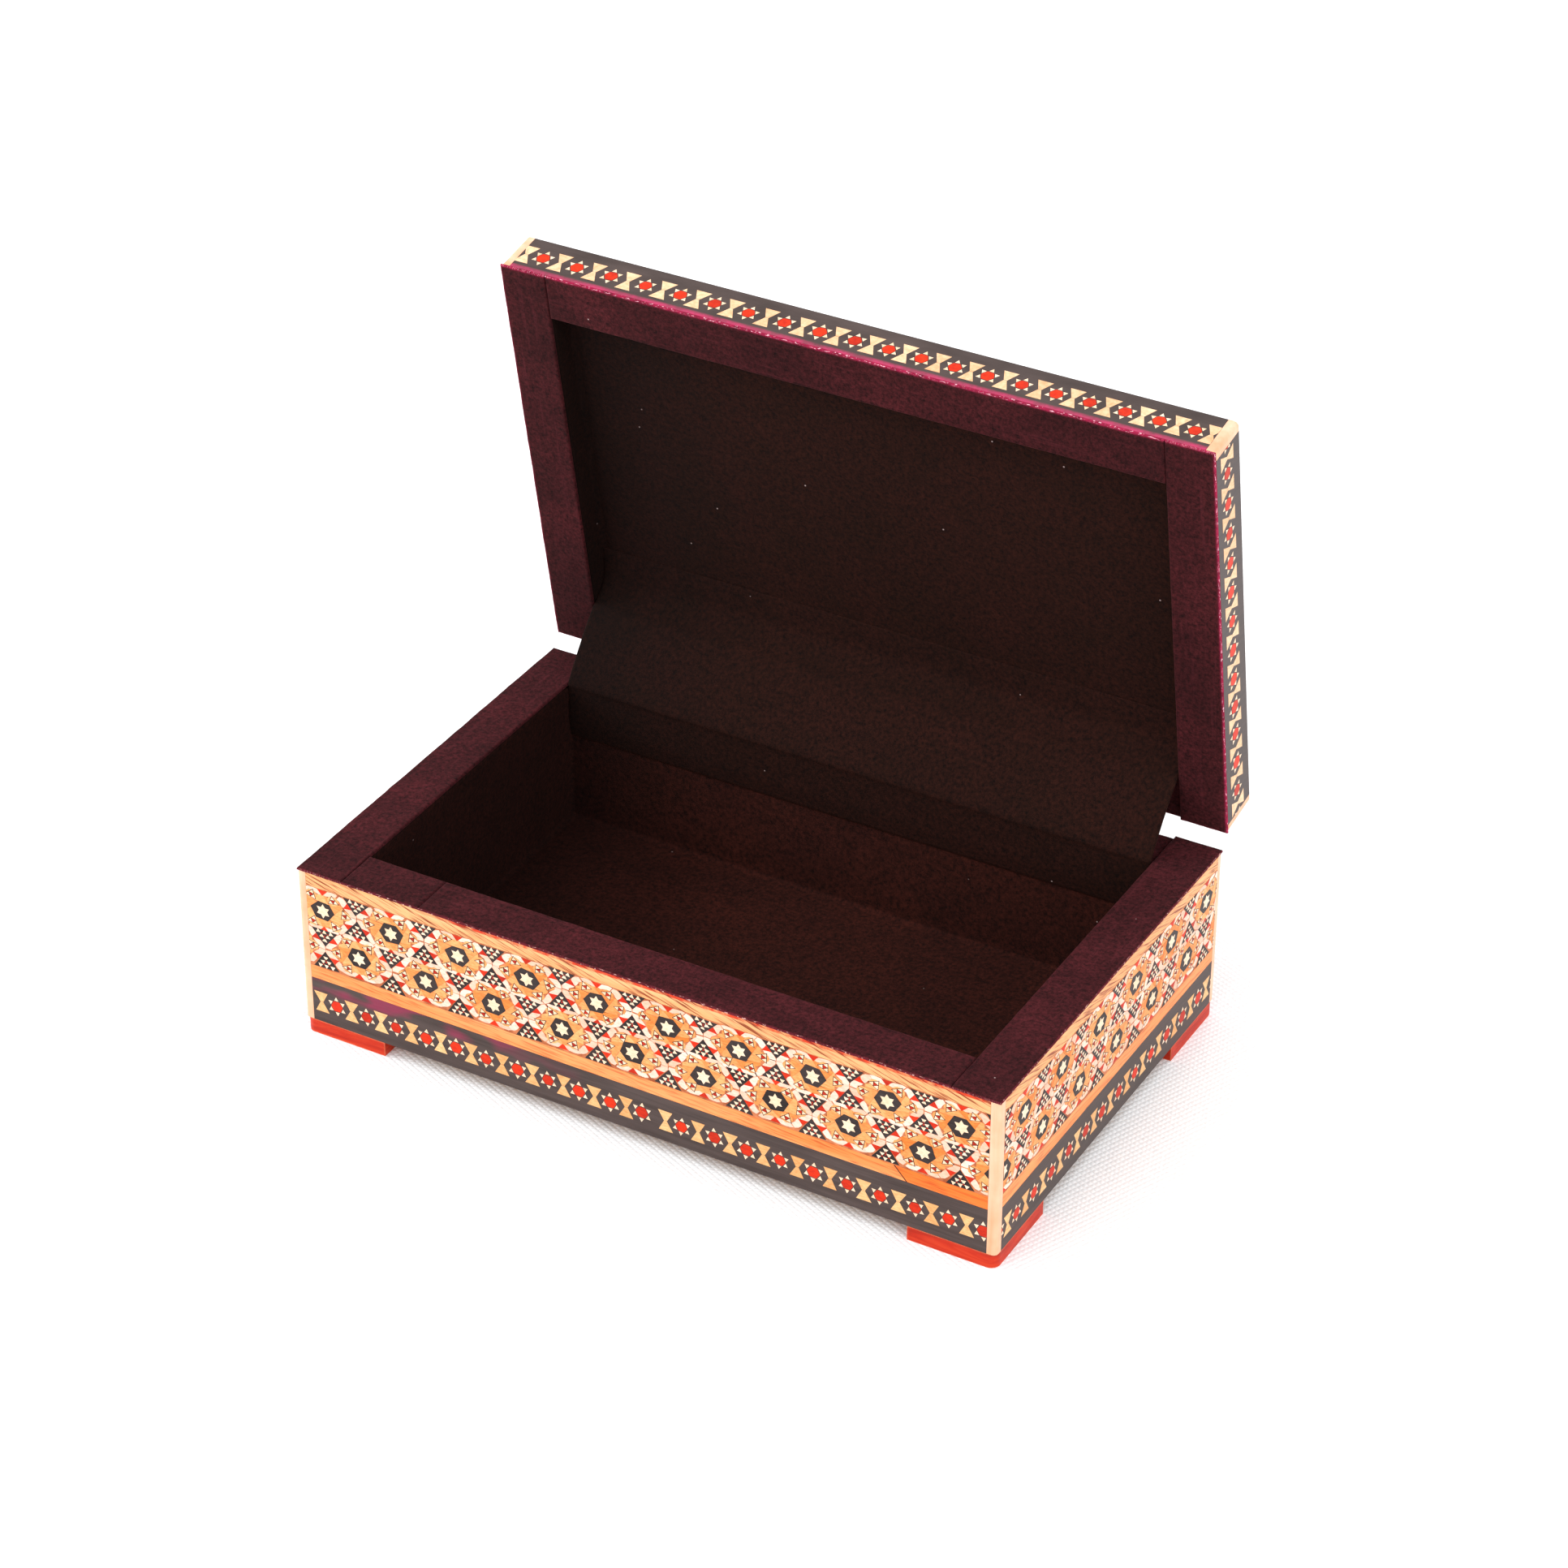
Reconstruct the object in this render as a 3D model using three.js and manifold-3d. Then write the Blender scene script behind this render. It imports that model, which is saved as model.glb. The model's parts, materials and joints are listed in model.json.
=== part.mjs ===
// Inlaid wooden box with a velvet lining, standing with its lid open.
// Millimetres. +X runs to the right along the front, +Y to the back, +Z up.
// The origin is on the surface that the feet stand on, under the middle of the whole object.
import * as THREE from "three";
import { mergeVertices } from "three/addons/utils/BufferGeometryUtils.js";
import Module from "manifold-3d";

const wasm = await Module();
wasm.setup();

// ---------------------------------------------------------------- driving dimensions
const BOX_LENGTH = 170;
const BOX_DEPTH = 104.5;
const WALL_HEIGHT = 38.6; // wood only, the velvet on the rim comes on top
const LID_HEIGHT = 11.5; // velvet on the lid's rim included
const FOOT_HEIGHT = 3.6;
const FOOT_ALONG_FRONT = 20.6;
const FOOT_ALONG_SIDE = 21.5;
const FOOT_CORNER_RADIUS = 2.2;

const VENEER = 1.5; // all inlay panels and strips on the outside
const WALL_CORE = 8.9; // plain wood behind the veneer, lid rails as well
const RAIL_HEIGHT = 7;
const FLOOR_THICKNESS = 2.2;
const LINING = 0.8; // velvet on its backing
const RIM_VELVET = 0.7;

const BORDER_BAND_HEIGHT = 11.3;
const LOWER_STRIP_HEIGHT = 3.3;
const KHATAM_BAND_HEIGHT = 20.9;
const LID_TOP_VENEER = 1.2;
const POST = 2.2; // square corner strips
const POST_RADIUS = 1.1;

const OPEN_ANGLE = 79.5; // degrees from closed to where the lid stands
const LID_GAP = 0.6; // between the two velvet rims of the closed box
const AXIS_BEHIND_BACK = 2.15;

const HINGE_LENGTH = 24;
const HINGE_FROM_END = 26; // from the box's end to the near end of a hinge
const LEAF_HEIGHT = 8.2;
const LEAF_THICKNESS = 0.8;
const KNUCKLE_RADIUS = 2;
const KNUCKLE_GAP = 0.2;
const PIN_RADIUS = 0.75;
const PIN_PLAY = 0.12;
const PIN_HEAD = 0.3;

const CLOTH = 0.7; // the velvet strip that bridges lid and box inside
const CLOTH_RELIEF = 0.8; // how much lower the two rear rims lie, to leave it room
const CLOTH_GAP = 0.15;
const CLOTH_DOWN_WALL = 14;
const CLOTH_UP_LID = 12.5;
const CLOTH_BOW = 0.5;

const GLUE = 0.05; // the line between two glued pieces

// ---------------------------------------------------------------- derived levels
const RIM_TOP = WALL_HEIGHT + GLUE + RIM_VELVET;
const CORE_INNER = VENEER + GLUE + WALL_CORE;
const OPENING_INSET = CORE_INNER + GLUE + LINING;
const RAIL_BOTTOM = RIM_VELVET + GLUE;
const RAIL_TOP = RAIL_BOTTOM + RAIL_HEIGHT;
const AXIS_Y = BOX_DEPTH / 2 + AXIS_BEHIND_BACK;
const AXIS_Z = RIM_TOP + LID_GAP; // level with the closed lid's rim
const OPEN = THREE.MathUtils.degToRad(OPEN_ANGLE);

const SIDES = [
  { name: "front", length: BOX_LENGTH, offset: BOX_DEPTH / 2, turn: 0 },
  { name: "right", length: BOX_DEPTH, offset: BOX_LENGTH / 2, turn: 1 },
  { name: "back", length: BOX_LENGTH, offset: BOX_DEPTH / 2, turn: 2 },
  { name: "left", length: BOX_DEPTH, offset: BOX_LENGTH / 2, turn: 3 },
];

// ---------------------------------------------------------------- materials
const finish = (color, roughness, metalness = 0) => {
  return new THREE.MeshStandardMaterial({ color, roughness, metalness });
};
const MATERIALS = {
  plainWood: finish(0xb98a5a, 0.7),
  khatam: finish(0xe9b98a, 0.35),
  paleStrip: finish(0xe8b277, 0.4),
  orangeStrip: finish(0xe8924a, 0.4),
  border: finish(0x3a3839, 0.35),
  bone: finish(0xf3dcb6, 0.4),
  redWood: finish(0xc9452a, 0.45),
  rimVelvet: finish(0x57202c, 0.9),
  liningVelvet: finish(0x3a1a1c, 0.95),
  brass: finish(0xb08a3c, 0.35, 1),
};

// ---------------------------------------------------------------- geometry helpers
function mesh(name, geometry, material) {
  const made = new THREE.Mesh(geometry, material);
  made.name = name;
  return made;
}

// A box between two corners.
function slab(low, high) {
  const size = high.map((value, i) => value - low[i]);
  const geometry = new THREE.BoxGeometry(...size);
  return geometry.translate(...low.map((value, i) => value + size[i] / 2));
}

function shapeOf(points) {
  return new THREE.Shape(points.map(([x, y]) => new THREE.Vector2(x, y)));
}

// An outline in plan, raised from one height to another.
function raised(shape, bottom, top) {
  const settings = { depth: top - bottom, bevelEnabled: false, curveSegments: 6 };
  return new THREE.ExtrudeGeometry(shape, settings).translate(0, 0, bottom);
}

// A section drawn in Y and Z, run along X from one place to another.
function runAlongX(shape, start, end, curveSegments = 10) {
  const settings = { depth: end - start, bevelEnabled: false, curveSegments };
  const geometry = new THREE.ExtrudeGeometry(shape, settings);
  const axes = new THREE.Matrix4().makeBasis(
    new THREE.Vector3(0, 1, 0),
    new THREE.Vector3(0, 0, 1),
    new THREE.Vector3(1, 0, 0),
  );
  return geometry.applyMatrix4(axes).translate(start, 0, 0);
}

function toSolid(geometry) {
  const bare = geometry.index ? geometry.toNonIndexed() : geometry.clone();
  bare.deleteAttribute("normal");
  bare.deleteAttribute("uv");
  const merged = mergeVertices(bare, 1e-4);
  const data = {
    numProp: 3,
    vertProperties: merged.attributes.position.array,
    triVerts: new Uint32Array(merged.index.array),
  };
  return new wasm.Manifold(new wasm.Mesh(data));
}

function toGeometry(solid) {
  const data = solid.getMesh();
  const position = new THREE.BufferAttribute(data.vertProperties, data.numProp);
  const geometry = new THREE.BufferGeometry().setAttribute("position", position);
  geometry.setIndex(new THREE.BufferAttribute(data.triVerts, 1));
  return geometry;
}

function joined(geometries) {
  const solids = geometries.map(toSolid);
  return toGeometry(solids.slice(1).reduce((whole, solid) => whole.add(solid), solids[0]));
}

function cut(geometry, tool) {
  return toGeometry(toSolid(geometry).subtract(toSolid(tool)));
}

// A group whose X runs along one side, whose Y points inwards from its outer face.
function sideGroup(side, parent) {
  const group = new THREE.Group();
  const angle = (side.turn * Math.PI) / 2;
  group.rotation.z = angle;
  group.position.set(side.offset * Math.sin(angle), -side.offset * Math.cos(angle), 0);
  parent.add(group);
  return group;
}

// The plan of a board that fills the box inside the veneer, its corners cut for the posts.
function notchedPlan(halfX, halfY, notch) {
  const quarter = [
    [halfX, halfY - notch],
    [halfX - notch, halfY - notch],
    [halfX - notch, halfY],
  ];
  const mirror = (sx, sy) => quarter.map(([x, y]) => [sx * x, sy * y]);
  return shapeOf([
    ...mirror(1, 1),
    ...mirror(-1, 1).reverse(),
    ...mirror(-1, -1),
    ...mirror(1, -1).reverse(),
  ]);
}

// ---------------------------------------------------------------- pieces of each side
const POST_NOTCH = POST - VENEER;
const endsOfSide = (side) => side.length / 2;
const isBack = (side) => side.name === "back";
const isLengthways = (side) => side.name === "front" || isBack(side);

// The four inlay layers that are stacked up the outside of one wall.
function veneerLayers(side) {
  const top = isBack(side) ? WALL_HEIGHT - CLOTH_RELIEF : WALL_HEIGHT;
  const khatamBottom = BORDER_BAND_HEIGHT + LOWER_STRIP_HEIGHT;
  const khatamTop = khatamBottom + KHATAM_BAND_HEIGHT;
  return [
    ["border_band", 0, BORDER_BAND_HEIGHT, MATERIALS.border],
    ["lower_strip", BORDER_BAND_HEIGHT, khatamBottom, MATERIALS.orangeStrip],
    ["khatam_panel", khatamBottom, khatamTop, MATERIALS.khatam],
    ["upper_strip", khatamTop, top + GLUE, MATERIALS.paleStrip],
  ];
}

function addVeneers(side, group) {
  const half = endsOfSide(side) - POST - GLUE;
  for (const [layer, bottom, top, material] of veneerLayers(side)) {
    const geometry = slab([-half, 0, bottom], [half, VENEER, top - GLUE]);
    group.add(mesh(`${side.name}_${layer}`, geometry, material));
  }
}

// End walls run the whole depth with rebates for the posts; long walls stand between them.
function coreSection(side, bottom, top) {
  const front = VENEER + GLUE;
  if (isLengthways(side)) {
    const half = endsOfSide(side) - CORE_INNER - GLUE;
    return slab([-half, front, bottom], [half, CORE_INNER, top]);
  }
  const half = endsOfSide(side) - VENEER - GLUE;
  const plan = shapeOf([
    [-half + POST_NOTCH, front],
    [half - POST_NOTCH, front],
    [half - POST_NOTCH, front + POST_NOTCH],
    [half, front + POST_NOTCH],
    [half, CORE_INNER],
    [-half, CORE_INNER],
    [-half, front + POST_NOTCH],
    [-half + POST_NOTCH, front + POST_NOTCH],
  ]);
  return raised(plan, bottom, top);
}

// Velvet on the rim: the end strips run through, the long strips lie between them.
function rimStrip(side, bottom, top) {
  const half = endsOfSide(side) - (isLengthways(side) ? OPENING_INSET + GLUE : 0);
  return slab([-half, 0, bottom], [half, OPENING_INSET, top]);
}

// One quarter plan, a square with its outer corner rounded, repeated at the four corners.
const CORNERS = [
  { name: "front_left", sx: -1, sy: -1 },
  { name: "front_right", sx: 1, sy: -1 },
  { name: "back_right", sx: 1, sy: 1 },
  { name: "back_left", sx: -1, sy: 1 },
];

function cornerBlock(corner, sizeX, sizeY, radius, bottom, top) {
  const plan = new THREE.Shape();
  plan.moveTo(-sizeX, -sizeY);
  plan.lineTo(0, -sizeY);
  plan.lineTo(0, -radius);
  plan.absarc(-radius, -radius, radius, 0, Math.PI / 2, false);
  plan.lineTo(-sizeX, 0);
  plan.closePath();
  const outline = plan.getPoints(6).map((point) => [corner.sx * point.x, corner.sy * point.y]);
  const geometry = raised(shapeOf(outline), bottom, top);
  return geometry.translate((corner.sx * BOX_LENGTH) / 2, (corner.sy * BOX_DEPTH) / 2, 0);
}

// A tray of velvet that lines a hollow: open at its top.
function liningTray(bottom, top) {
  const halfX = BOX_LENGTH / 2 - CORE_INNER - GLUE;
  const halfY = BOX_DEPTH / 2 - CORE_INNER - GLUE;
  const outside = slab([-halfX, -halfY, bottom], [halfX, halfY, top]);
  const low = [-halfX + LINING, -halfY + LINING, bottom + LINING];
  const high = [halfX - LINING, halfY - LINING, top + LINING];
  return cut(outside, slab(low, high));
}

// ---------------------------------------------------------------- the box
function buildBase() {
  const base = new THREE.Group();
  for (const side of SIDES) {
    const group = sideGroup(side, base);
    const relief = isBack(side) ? CLOTH_RELIEF : 0;
    const top = WALL_HEIGHT - relief;
    addVeneers(side, group);
    group.add(mesh(`${side.name}_wall`, coreSection(side, 0, top), MATERIALS.plainWood));
    const velvet = rimStrip(side, top + GLUE, top + GLUE + RIM_VELVET);
    group.add(mesh(`${side.name}_rim_velvet`, velvet, MATERIALS.rimVelvet));
  }
  for (const corner of CORNERS) {
    const post = cornerBlock(corner, POST, POST, POST_RADIUS, 0, WALL_HEIGHT);
    base.add(mesh(`post_${corner.name}`, post, MATERIALS.bone));
    const foot = cornerBlock(
      corner,
      FOOT_ALONG_FRONT,
      FOOT_ALONG_SIDE,
      FOOT_CORNER_RADIUS,
      -FOOT_HEIGHT,
      -GLUE,
    );
    base.add(mesh(`foot_${corner.name}`, foot, MATERIALS.redWood));
  }
  const halfX = BOX_LENGTH / 2 - CORE_INNER - GLUE;
  const halfY = BOX_DEPTH / 2 - CORE_INNER - GLUE;
  const floor = slab([-halfX, -halfY, 0], [halfX, halfY, FLOOR_THICKNESS]);
  base.add(mesh("floor_panel", floor, MATERIALS.plainWood));
  // the tray stops under the lowest rim, so that no velvet strip meets it
  const tray = liningTray(FLOOR_THICKNESS + GLUE, WALL_HEIGHT - CLOTH_RELIEF);
  base.add(mesh("base_lining", tray, MATERIALS.liningVelvet));
  return base;
}

// ---------------------------------------------------------------- the lid
// Drawn closed, its rim facing down at height 0.
function buildLid() {
  const lid = new THREE.Group();
  for (const side of SIDES) {
    const group = sideGroup(side, lid);
    const relief = isBack(side) ? CLOTH_RELIEF : 0;
    const half = endsOfSide(side) - POST - GLUE;
    const band = slab([-half, 0, RAIL_BOTTOM + relief], [half, VENEER, LID_HEIGHT]);
    group.add(mesh(`lid_${side.name}_edge_band`, band, MATERIALS.border));
    const rail = coreSection(side, RAIL_BOTTOM + relief, RAIL_TOP);
    group.add(mesh(`lid_${side.name}_rail`, rail, MATERIALS.plainWood));
    const velvet = rimStrip(side, relief, relief + RIM_VELVET);
    group.add(mesh(`lid_${side.name}_rim_velvet`, velvet, MATERIALS.rimVelvet));
  }
  for (const corner of CORNERS) {
    const strip = cornerBlock(corner, POST, POST, POST_RADIUS, RAIL_BOTTOM, LID_HEIGHT);
    lid.add(mesh(`lid_post_${corner.name}`, strip, MATERIALS.bone));
  }
  const halfX = BOX_LENGTH / 2 - VENEER - GLUE;
  const halfY = BOX_DEPTH / 2 - VENEER - GLUE;
  const plan = notchedPlan(halfX, halfY, POST_NOTCH);
  const veneerBottom = LID_HEIGHT - LID_TOP_VENEER;
  const board = raised(plan, RAIL_TOP + GLUE, veneerBottom - GLUE);
  lid.add(mesh("lid_board", board, MATERIALS.plainWood));
  lid.add(mesh("lid_top_veneer", raised(plan, veneerBottom, LID_HEIGHT), MATERIALS.khatam));
  // the same tray, turned over so that it opens downwards
  const tray = liningTray(-RAIL_TOP, -RAIL_BOTTOM - CLOTH_RELIEF).rotateX(Math.PI);
  lid.add(mesh("lid_lining", tray, MATERIALS.liningVelvet));
  return lid;
}

// ---------------------------------------------------------------- hinges
// Drawn round the axis, in the closed box's directions: the base leaf hangs below it.
function leafWithKnuckles(knuckles, end) {
  const back = -AXIS_BEHIND_BACK + GLUE;
  const clear = KNUCKLE_RADIUS + KNUCKLE_GAP;
  const plate = shapeOf([
    [back, end * clear],
    [back + LEAF_THICKNESS, end * clear],
    [back + LEAF_THICKNESS, end * LEAF_HEIGHT],
    [back, end * LEAF_HEIGHT],
  ]);
  const tongue = shapeOf([
    [back, 0],
    [back + LEAF_THICKNESS, 0],
    [back + LEAF_THICKNESS, end * (clear + 1)],
    [back, end * (clear + 1)],
  ]);
  const barrel = new THREE.Shape().absarc(0, 0, KNUCKLE_RADIUS, 0, 2 * Math.PI, false);
  const bore = new THREE.Shape().absarc(0, 0, PIN_RADIUS + PIN_PLAY, 0, 2 * Math.PI, false);
  const pieces = [runAlongX(plate, 0, HINGE_LENGTH)];
  for (const [start, stop] of knuckles) {
    pieces.push(runAlongX(tongue, start, stop));
    pieces.push(runAlongX(barrel, start, stop));
  }
  return cut(joined(pieces), runAlongX(bore, -1, HINGE_LENGTH + 1));
}

function hingePieces(name, place) {
  const third = HINGE_LENGTH / 3;
  const outer = [
    [0, third - KNUCKLE_GAP],
    [2 * third + KNUCKLE_GAP, HINGE_LENGTH],
  ];
  const middle = [[third, 2 * third]];
  const pinSection = new THREE.Shape().absarc(0, 0, PIN_RADIUS, 0, 2 * Math.PI, false);
  const pin = runAlongX(pinSection, -PIN_HEAD, HINGE_LENGTH + PIN_HEAD);
  const made = {
    base: [
      mesh(`${name}_base_leaf`, leafWithKnuckles(outer, -1), MATERIALS.brass),
      mesh(`${name}_pin`, pin, MATERIALS.brass),
    ],
    lid: [mesh(`${name}_lid_leaf`, leafWithKnuckles(middle, 1), MATERIALS.brass)],
  };
  for (const piece of [...made.base, ...made.lid]) piece.geometry.translate(place, 0, 0);
  return made;
}

// ---------------------------------------------------------------- the velvet hinge strip
// A point of the lid where it stands: up from the hinge edge, and into the lid from its rim.
function lidPoint(up, into) {
  const y = -AXIS_BEHIND_BACK - up;
  const cos = Math.cos(OPEN);
  const sin = Math.sin(OPEN);
  return [AXIS_Y + y * cos + into * sin, AXIS_Z - y * sin + into * cos];
}

// It runs up the back wall, bridges to the lid's rear rail and ends on the lid's lining.
function clothPath() {
  const stand = CLOTH_GAP + CLOTH / 2;
  const wall = BOX_DEPTH / 2 - OPENING_INSET - stand;
  const edge = OPENING_INSET + stand;
  const deep = RAIL_TOP - LINING - stand;
  const from = [wall, RIM_TOP + 0.3];
  const to = lidPoint(edge, -stand);
  const across = [to[0] - from[0], to[1] - from[1]];
  const bridge = (share) => {
    const bow = (4 * CLOTH_BOW * share * (1 - share)) / Math.hypot(...across);
    return [
      from[0] + share * across[0] - bow * across[1],
      from[1] + share * across[1] + bow * across[0],
    ];
  };
  const points = [
    [wall, RIM_TOP - CLOTH_DOWN_WALL],
    [wall, RIM_TOP - CLOTH_DOWN_WALL / 2],
    [wall, RIM_TOP - 1.6],
    from,
    bridge(0.25),
    bridge(0.5),
    bridge(0.75),
    to,
    lidPoint(edge + 1.2, deep / 3),
    lidPoint(edge + 4, (deep * 5) / 6),
    lidPoint(edge + 7.5, deep),
    lidPoint(edge + CLOTH_UP_LID, deep),
  ];
  return new THREE.SplineCurve(points.map(([y, z]) => new THREE.Vector2(y, z)));
}

function ribbonSection(curve, thickness, steps) {
  const sides = [[], []];
  for (let i = 0; i <= steps; i++) {
    const point = curve.getPoint(i / steps);
    const along = curve.getTangent(i / steps);
    const aside = new THREE.Vector2(-along.y, along.x).multiplyScalar(thickness / 2);
    sides[0].push(point.clone().add(aside));
    sides[1].unshift(point.clone().sub(aside));
  }
  return new THREE.Shape([...sides[1], ...sides[0]]);
}

function buildCloth() {
  const half = BOX_LENGTH / 2 - OPENING_INSET - CLOTH_GAP;
  const section = ribbonSection(clothPath(), CLOTH, 44);
  return mesh("hinge_cloth", runAlongX(section, -half, half), MATERIALS.liningVelvet);
}

// ---------------------------------------------------------------- assembly
const box = new THREE.Group();
const lidTurn = new THREE.Group();
const lid = buildLid();
box.add(buildBase(), buildCloth(), lidTurn);
lid.position.set(0, -AXIS_Y, 0);
lidTurn.position.set(0, AXIS_Y, AXIS_Z);
lidTurn.rotation.x = -OPEN;
lidTurn.add(lid);

const hingeStart = -BOX_LENGTH / 2 + HINGE_FROM_END;
const hingePlaces = { hinge_left: hingeStart, hinge_right: -hingeStart - HINGE_LENGTH };
for (const [name, place] of Object.entries(hingePlaces)) {
  const pieces = hingePieces(name, place);
  const fixed = new THREE.Group();
  fixed.position.set(0, AXIS_Y, AXIS_Z);
  fixed.add(...pieces.base);
  box.add(fixed);
  lidTurn.add(...pieces.lid);
}

// The box's front face is furthest forward, the open lid's outer rear edge furthest back.
const furthestBack = Math.max(lidPoint(0, LID_HEIGHT)[0], AXIS_Y + KNUCKLE_RADIUS);
const middleY = (furthestBack - BOX_DEPTH / 2) / 2;
box.position.set(0, -middleY, FOOT_HEIGHT);

const object = new THREE.Group();
object.add(box);
export default object;
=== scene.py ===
import json
import math
import random

import bpy
from mathutils import Matrix, Vector, noise


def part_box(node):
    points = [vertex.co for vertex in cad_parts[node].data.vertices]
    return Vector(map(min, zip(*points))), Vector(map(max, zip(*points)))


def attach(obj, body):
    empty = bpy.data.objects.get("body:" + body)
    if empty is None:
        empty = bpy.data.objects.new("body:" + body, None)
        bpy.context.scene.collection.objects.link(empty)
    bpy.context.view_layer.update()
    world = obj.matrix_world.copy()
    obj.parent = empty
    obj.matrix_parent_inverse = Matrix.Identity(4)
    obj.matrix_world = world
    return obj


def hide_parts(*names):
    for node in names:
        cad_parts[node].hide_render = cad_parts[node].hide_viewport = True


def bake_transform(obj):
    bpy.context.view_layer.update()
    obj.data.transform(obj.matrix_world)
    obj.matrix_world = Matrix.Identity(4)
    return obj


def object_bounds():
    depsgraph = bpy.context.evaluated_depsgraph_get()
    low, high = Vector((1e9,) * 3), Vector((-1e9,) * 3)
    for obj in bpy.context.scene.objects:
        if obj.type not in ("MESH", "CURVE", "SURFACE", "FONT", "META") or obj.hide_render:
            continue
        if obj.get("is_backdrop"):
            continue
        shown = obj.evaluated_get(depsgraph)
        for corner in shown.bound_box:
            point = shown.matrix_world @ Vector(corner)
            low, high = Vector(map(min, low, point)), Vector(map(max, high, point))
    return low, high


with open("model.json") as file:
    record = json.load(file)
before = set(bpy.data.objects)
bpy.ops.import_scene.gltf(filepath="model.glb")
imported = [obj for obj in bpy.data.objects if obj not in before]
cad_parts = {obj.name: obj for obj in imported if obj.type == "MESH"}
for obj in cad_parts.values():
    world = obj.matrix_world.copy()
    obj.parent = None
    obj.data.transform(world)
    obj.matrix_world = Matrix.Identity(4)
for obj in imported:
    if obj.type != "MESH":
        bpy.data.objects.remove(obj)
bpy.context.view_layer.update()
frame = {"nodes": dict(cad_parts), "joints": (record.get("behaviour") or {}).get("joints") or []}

MM = 0.001

# ---- the camera
camera = bpy.data.objects.new("camera", bpy.data.cameras.new("camera"))
camera.data.sensor_width = 36.0
camera.data.lens = 107.46
camera.data.clip_start = 0.01
bpy.context.scene.collection.objects.link(camera)
CAMERA_RIGHT = Vector((0.870536, 0.492100, 0.002144))
CAMERA_UP = Vector((-0.269670, 0.473400, 0.838553))
CAMERA_BACK = Vector((0.411637, -0.730569, 0.544816))
CAMERA_PLACE = (0.41469, -0.73255, 0.60514)
camera.matrix_world = Matrix.Translation(CAMERA_PLACE) @ Matrix(
    (CAMERA_RIGHT, CAMERA_UP, CAMERA_BACK)
).transposed().to_4x4()
bpy.context.scene.camera = camera

# ---- sizes, as in the CAD, in millimetres
BOX_LENGTH, BOX_DEPTH = 170.0, 104.5
WALL_HEIGHT, FOOT_HEIGHT, LID_HEIGHT = 38.6, 3.6, 11.5
VENEER, WALL_CORE, LINING, RIM_VELVET, GLUE = 1.5, 8.9, 0.8, 0.7, 0.05
POST, RAIL_HEIGHT, FLOOR_THICKNESS = 2.2, 7.0, 2.2
CLOTH, CLOTH_RELIEF, CLOTH_GAP = 0.7, 0.8, 0.15
CLOTH_DOWN_WALL, CLOTH_UP_LID, CLOTH_BOW = 14.0, 12.5, 0.5
OPEN = math.radians(79.5)
CORE_INNER = VENEER + GLUE + WALL_CORE
OPENING_INSET = CORE_INNER + GLUE + LINING
RAIL_BOTTOM = RIM_VELVET + GLUE
RAIL_TOP = RAIL_BOTTOM + RAIL_HEIGHT
HALF_X, HALF_Y = BOX_LENGTH / 2, BOX_DEPTH / 2
RIM_TOP = WALL_HEIGHT + GLUE + RIM_VELVET

# the middle of the box in the frame's own Y, and the hinge line
BOX_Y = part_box("front_border_band")[0].y / MM + HALF_Y
hinge = frame["joints"][0]["pos_m"]
AXIS_Y, AXIS_Z = hinge[1] / MM, hinge[2] / MM
BASE = Matrix.Translation((0, BOX_Y, FOOT_HEIGHT))
LID = (
    Matrix.Translation((0, AXIS_Y, AXIS_Z))
    @ Matrix.Rotation(-OPEN, 4, "X")
    @ Matrix.Translation((0, BOX_Y - AXIS_Y, 0))
)


# ---- colours and shader graphs
def srgb(r, g, b):
    """A colour given as the eye sees it, 0 to 255, as linear light."""
    out = []
    for c in (r, g, b):
        c /= 255
        out.append(c / 12.92 if c <= 0.04045 else ((c + 0.055) / 1.055) ** 2.4)
    return (*out, 1.0)


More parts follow.
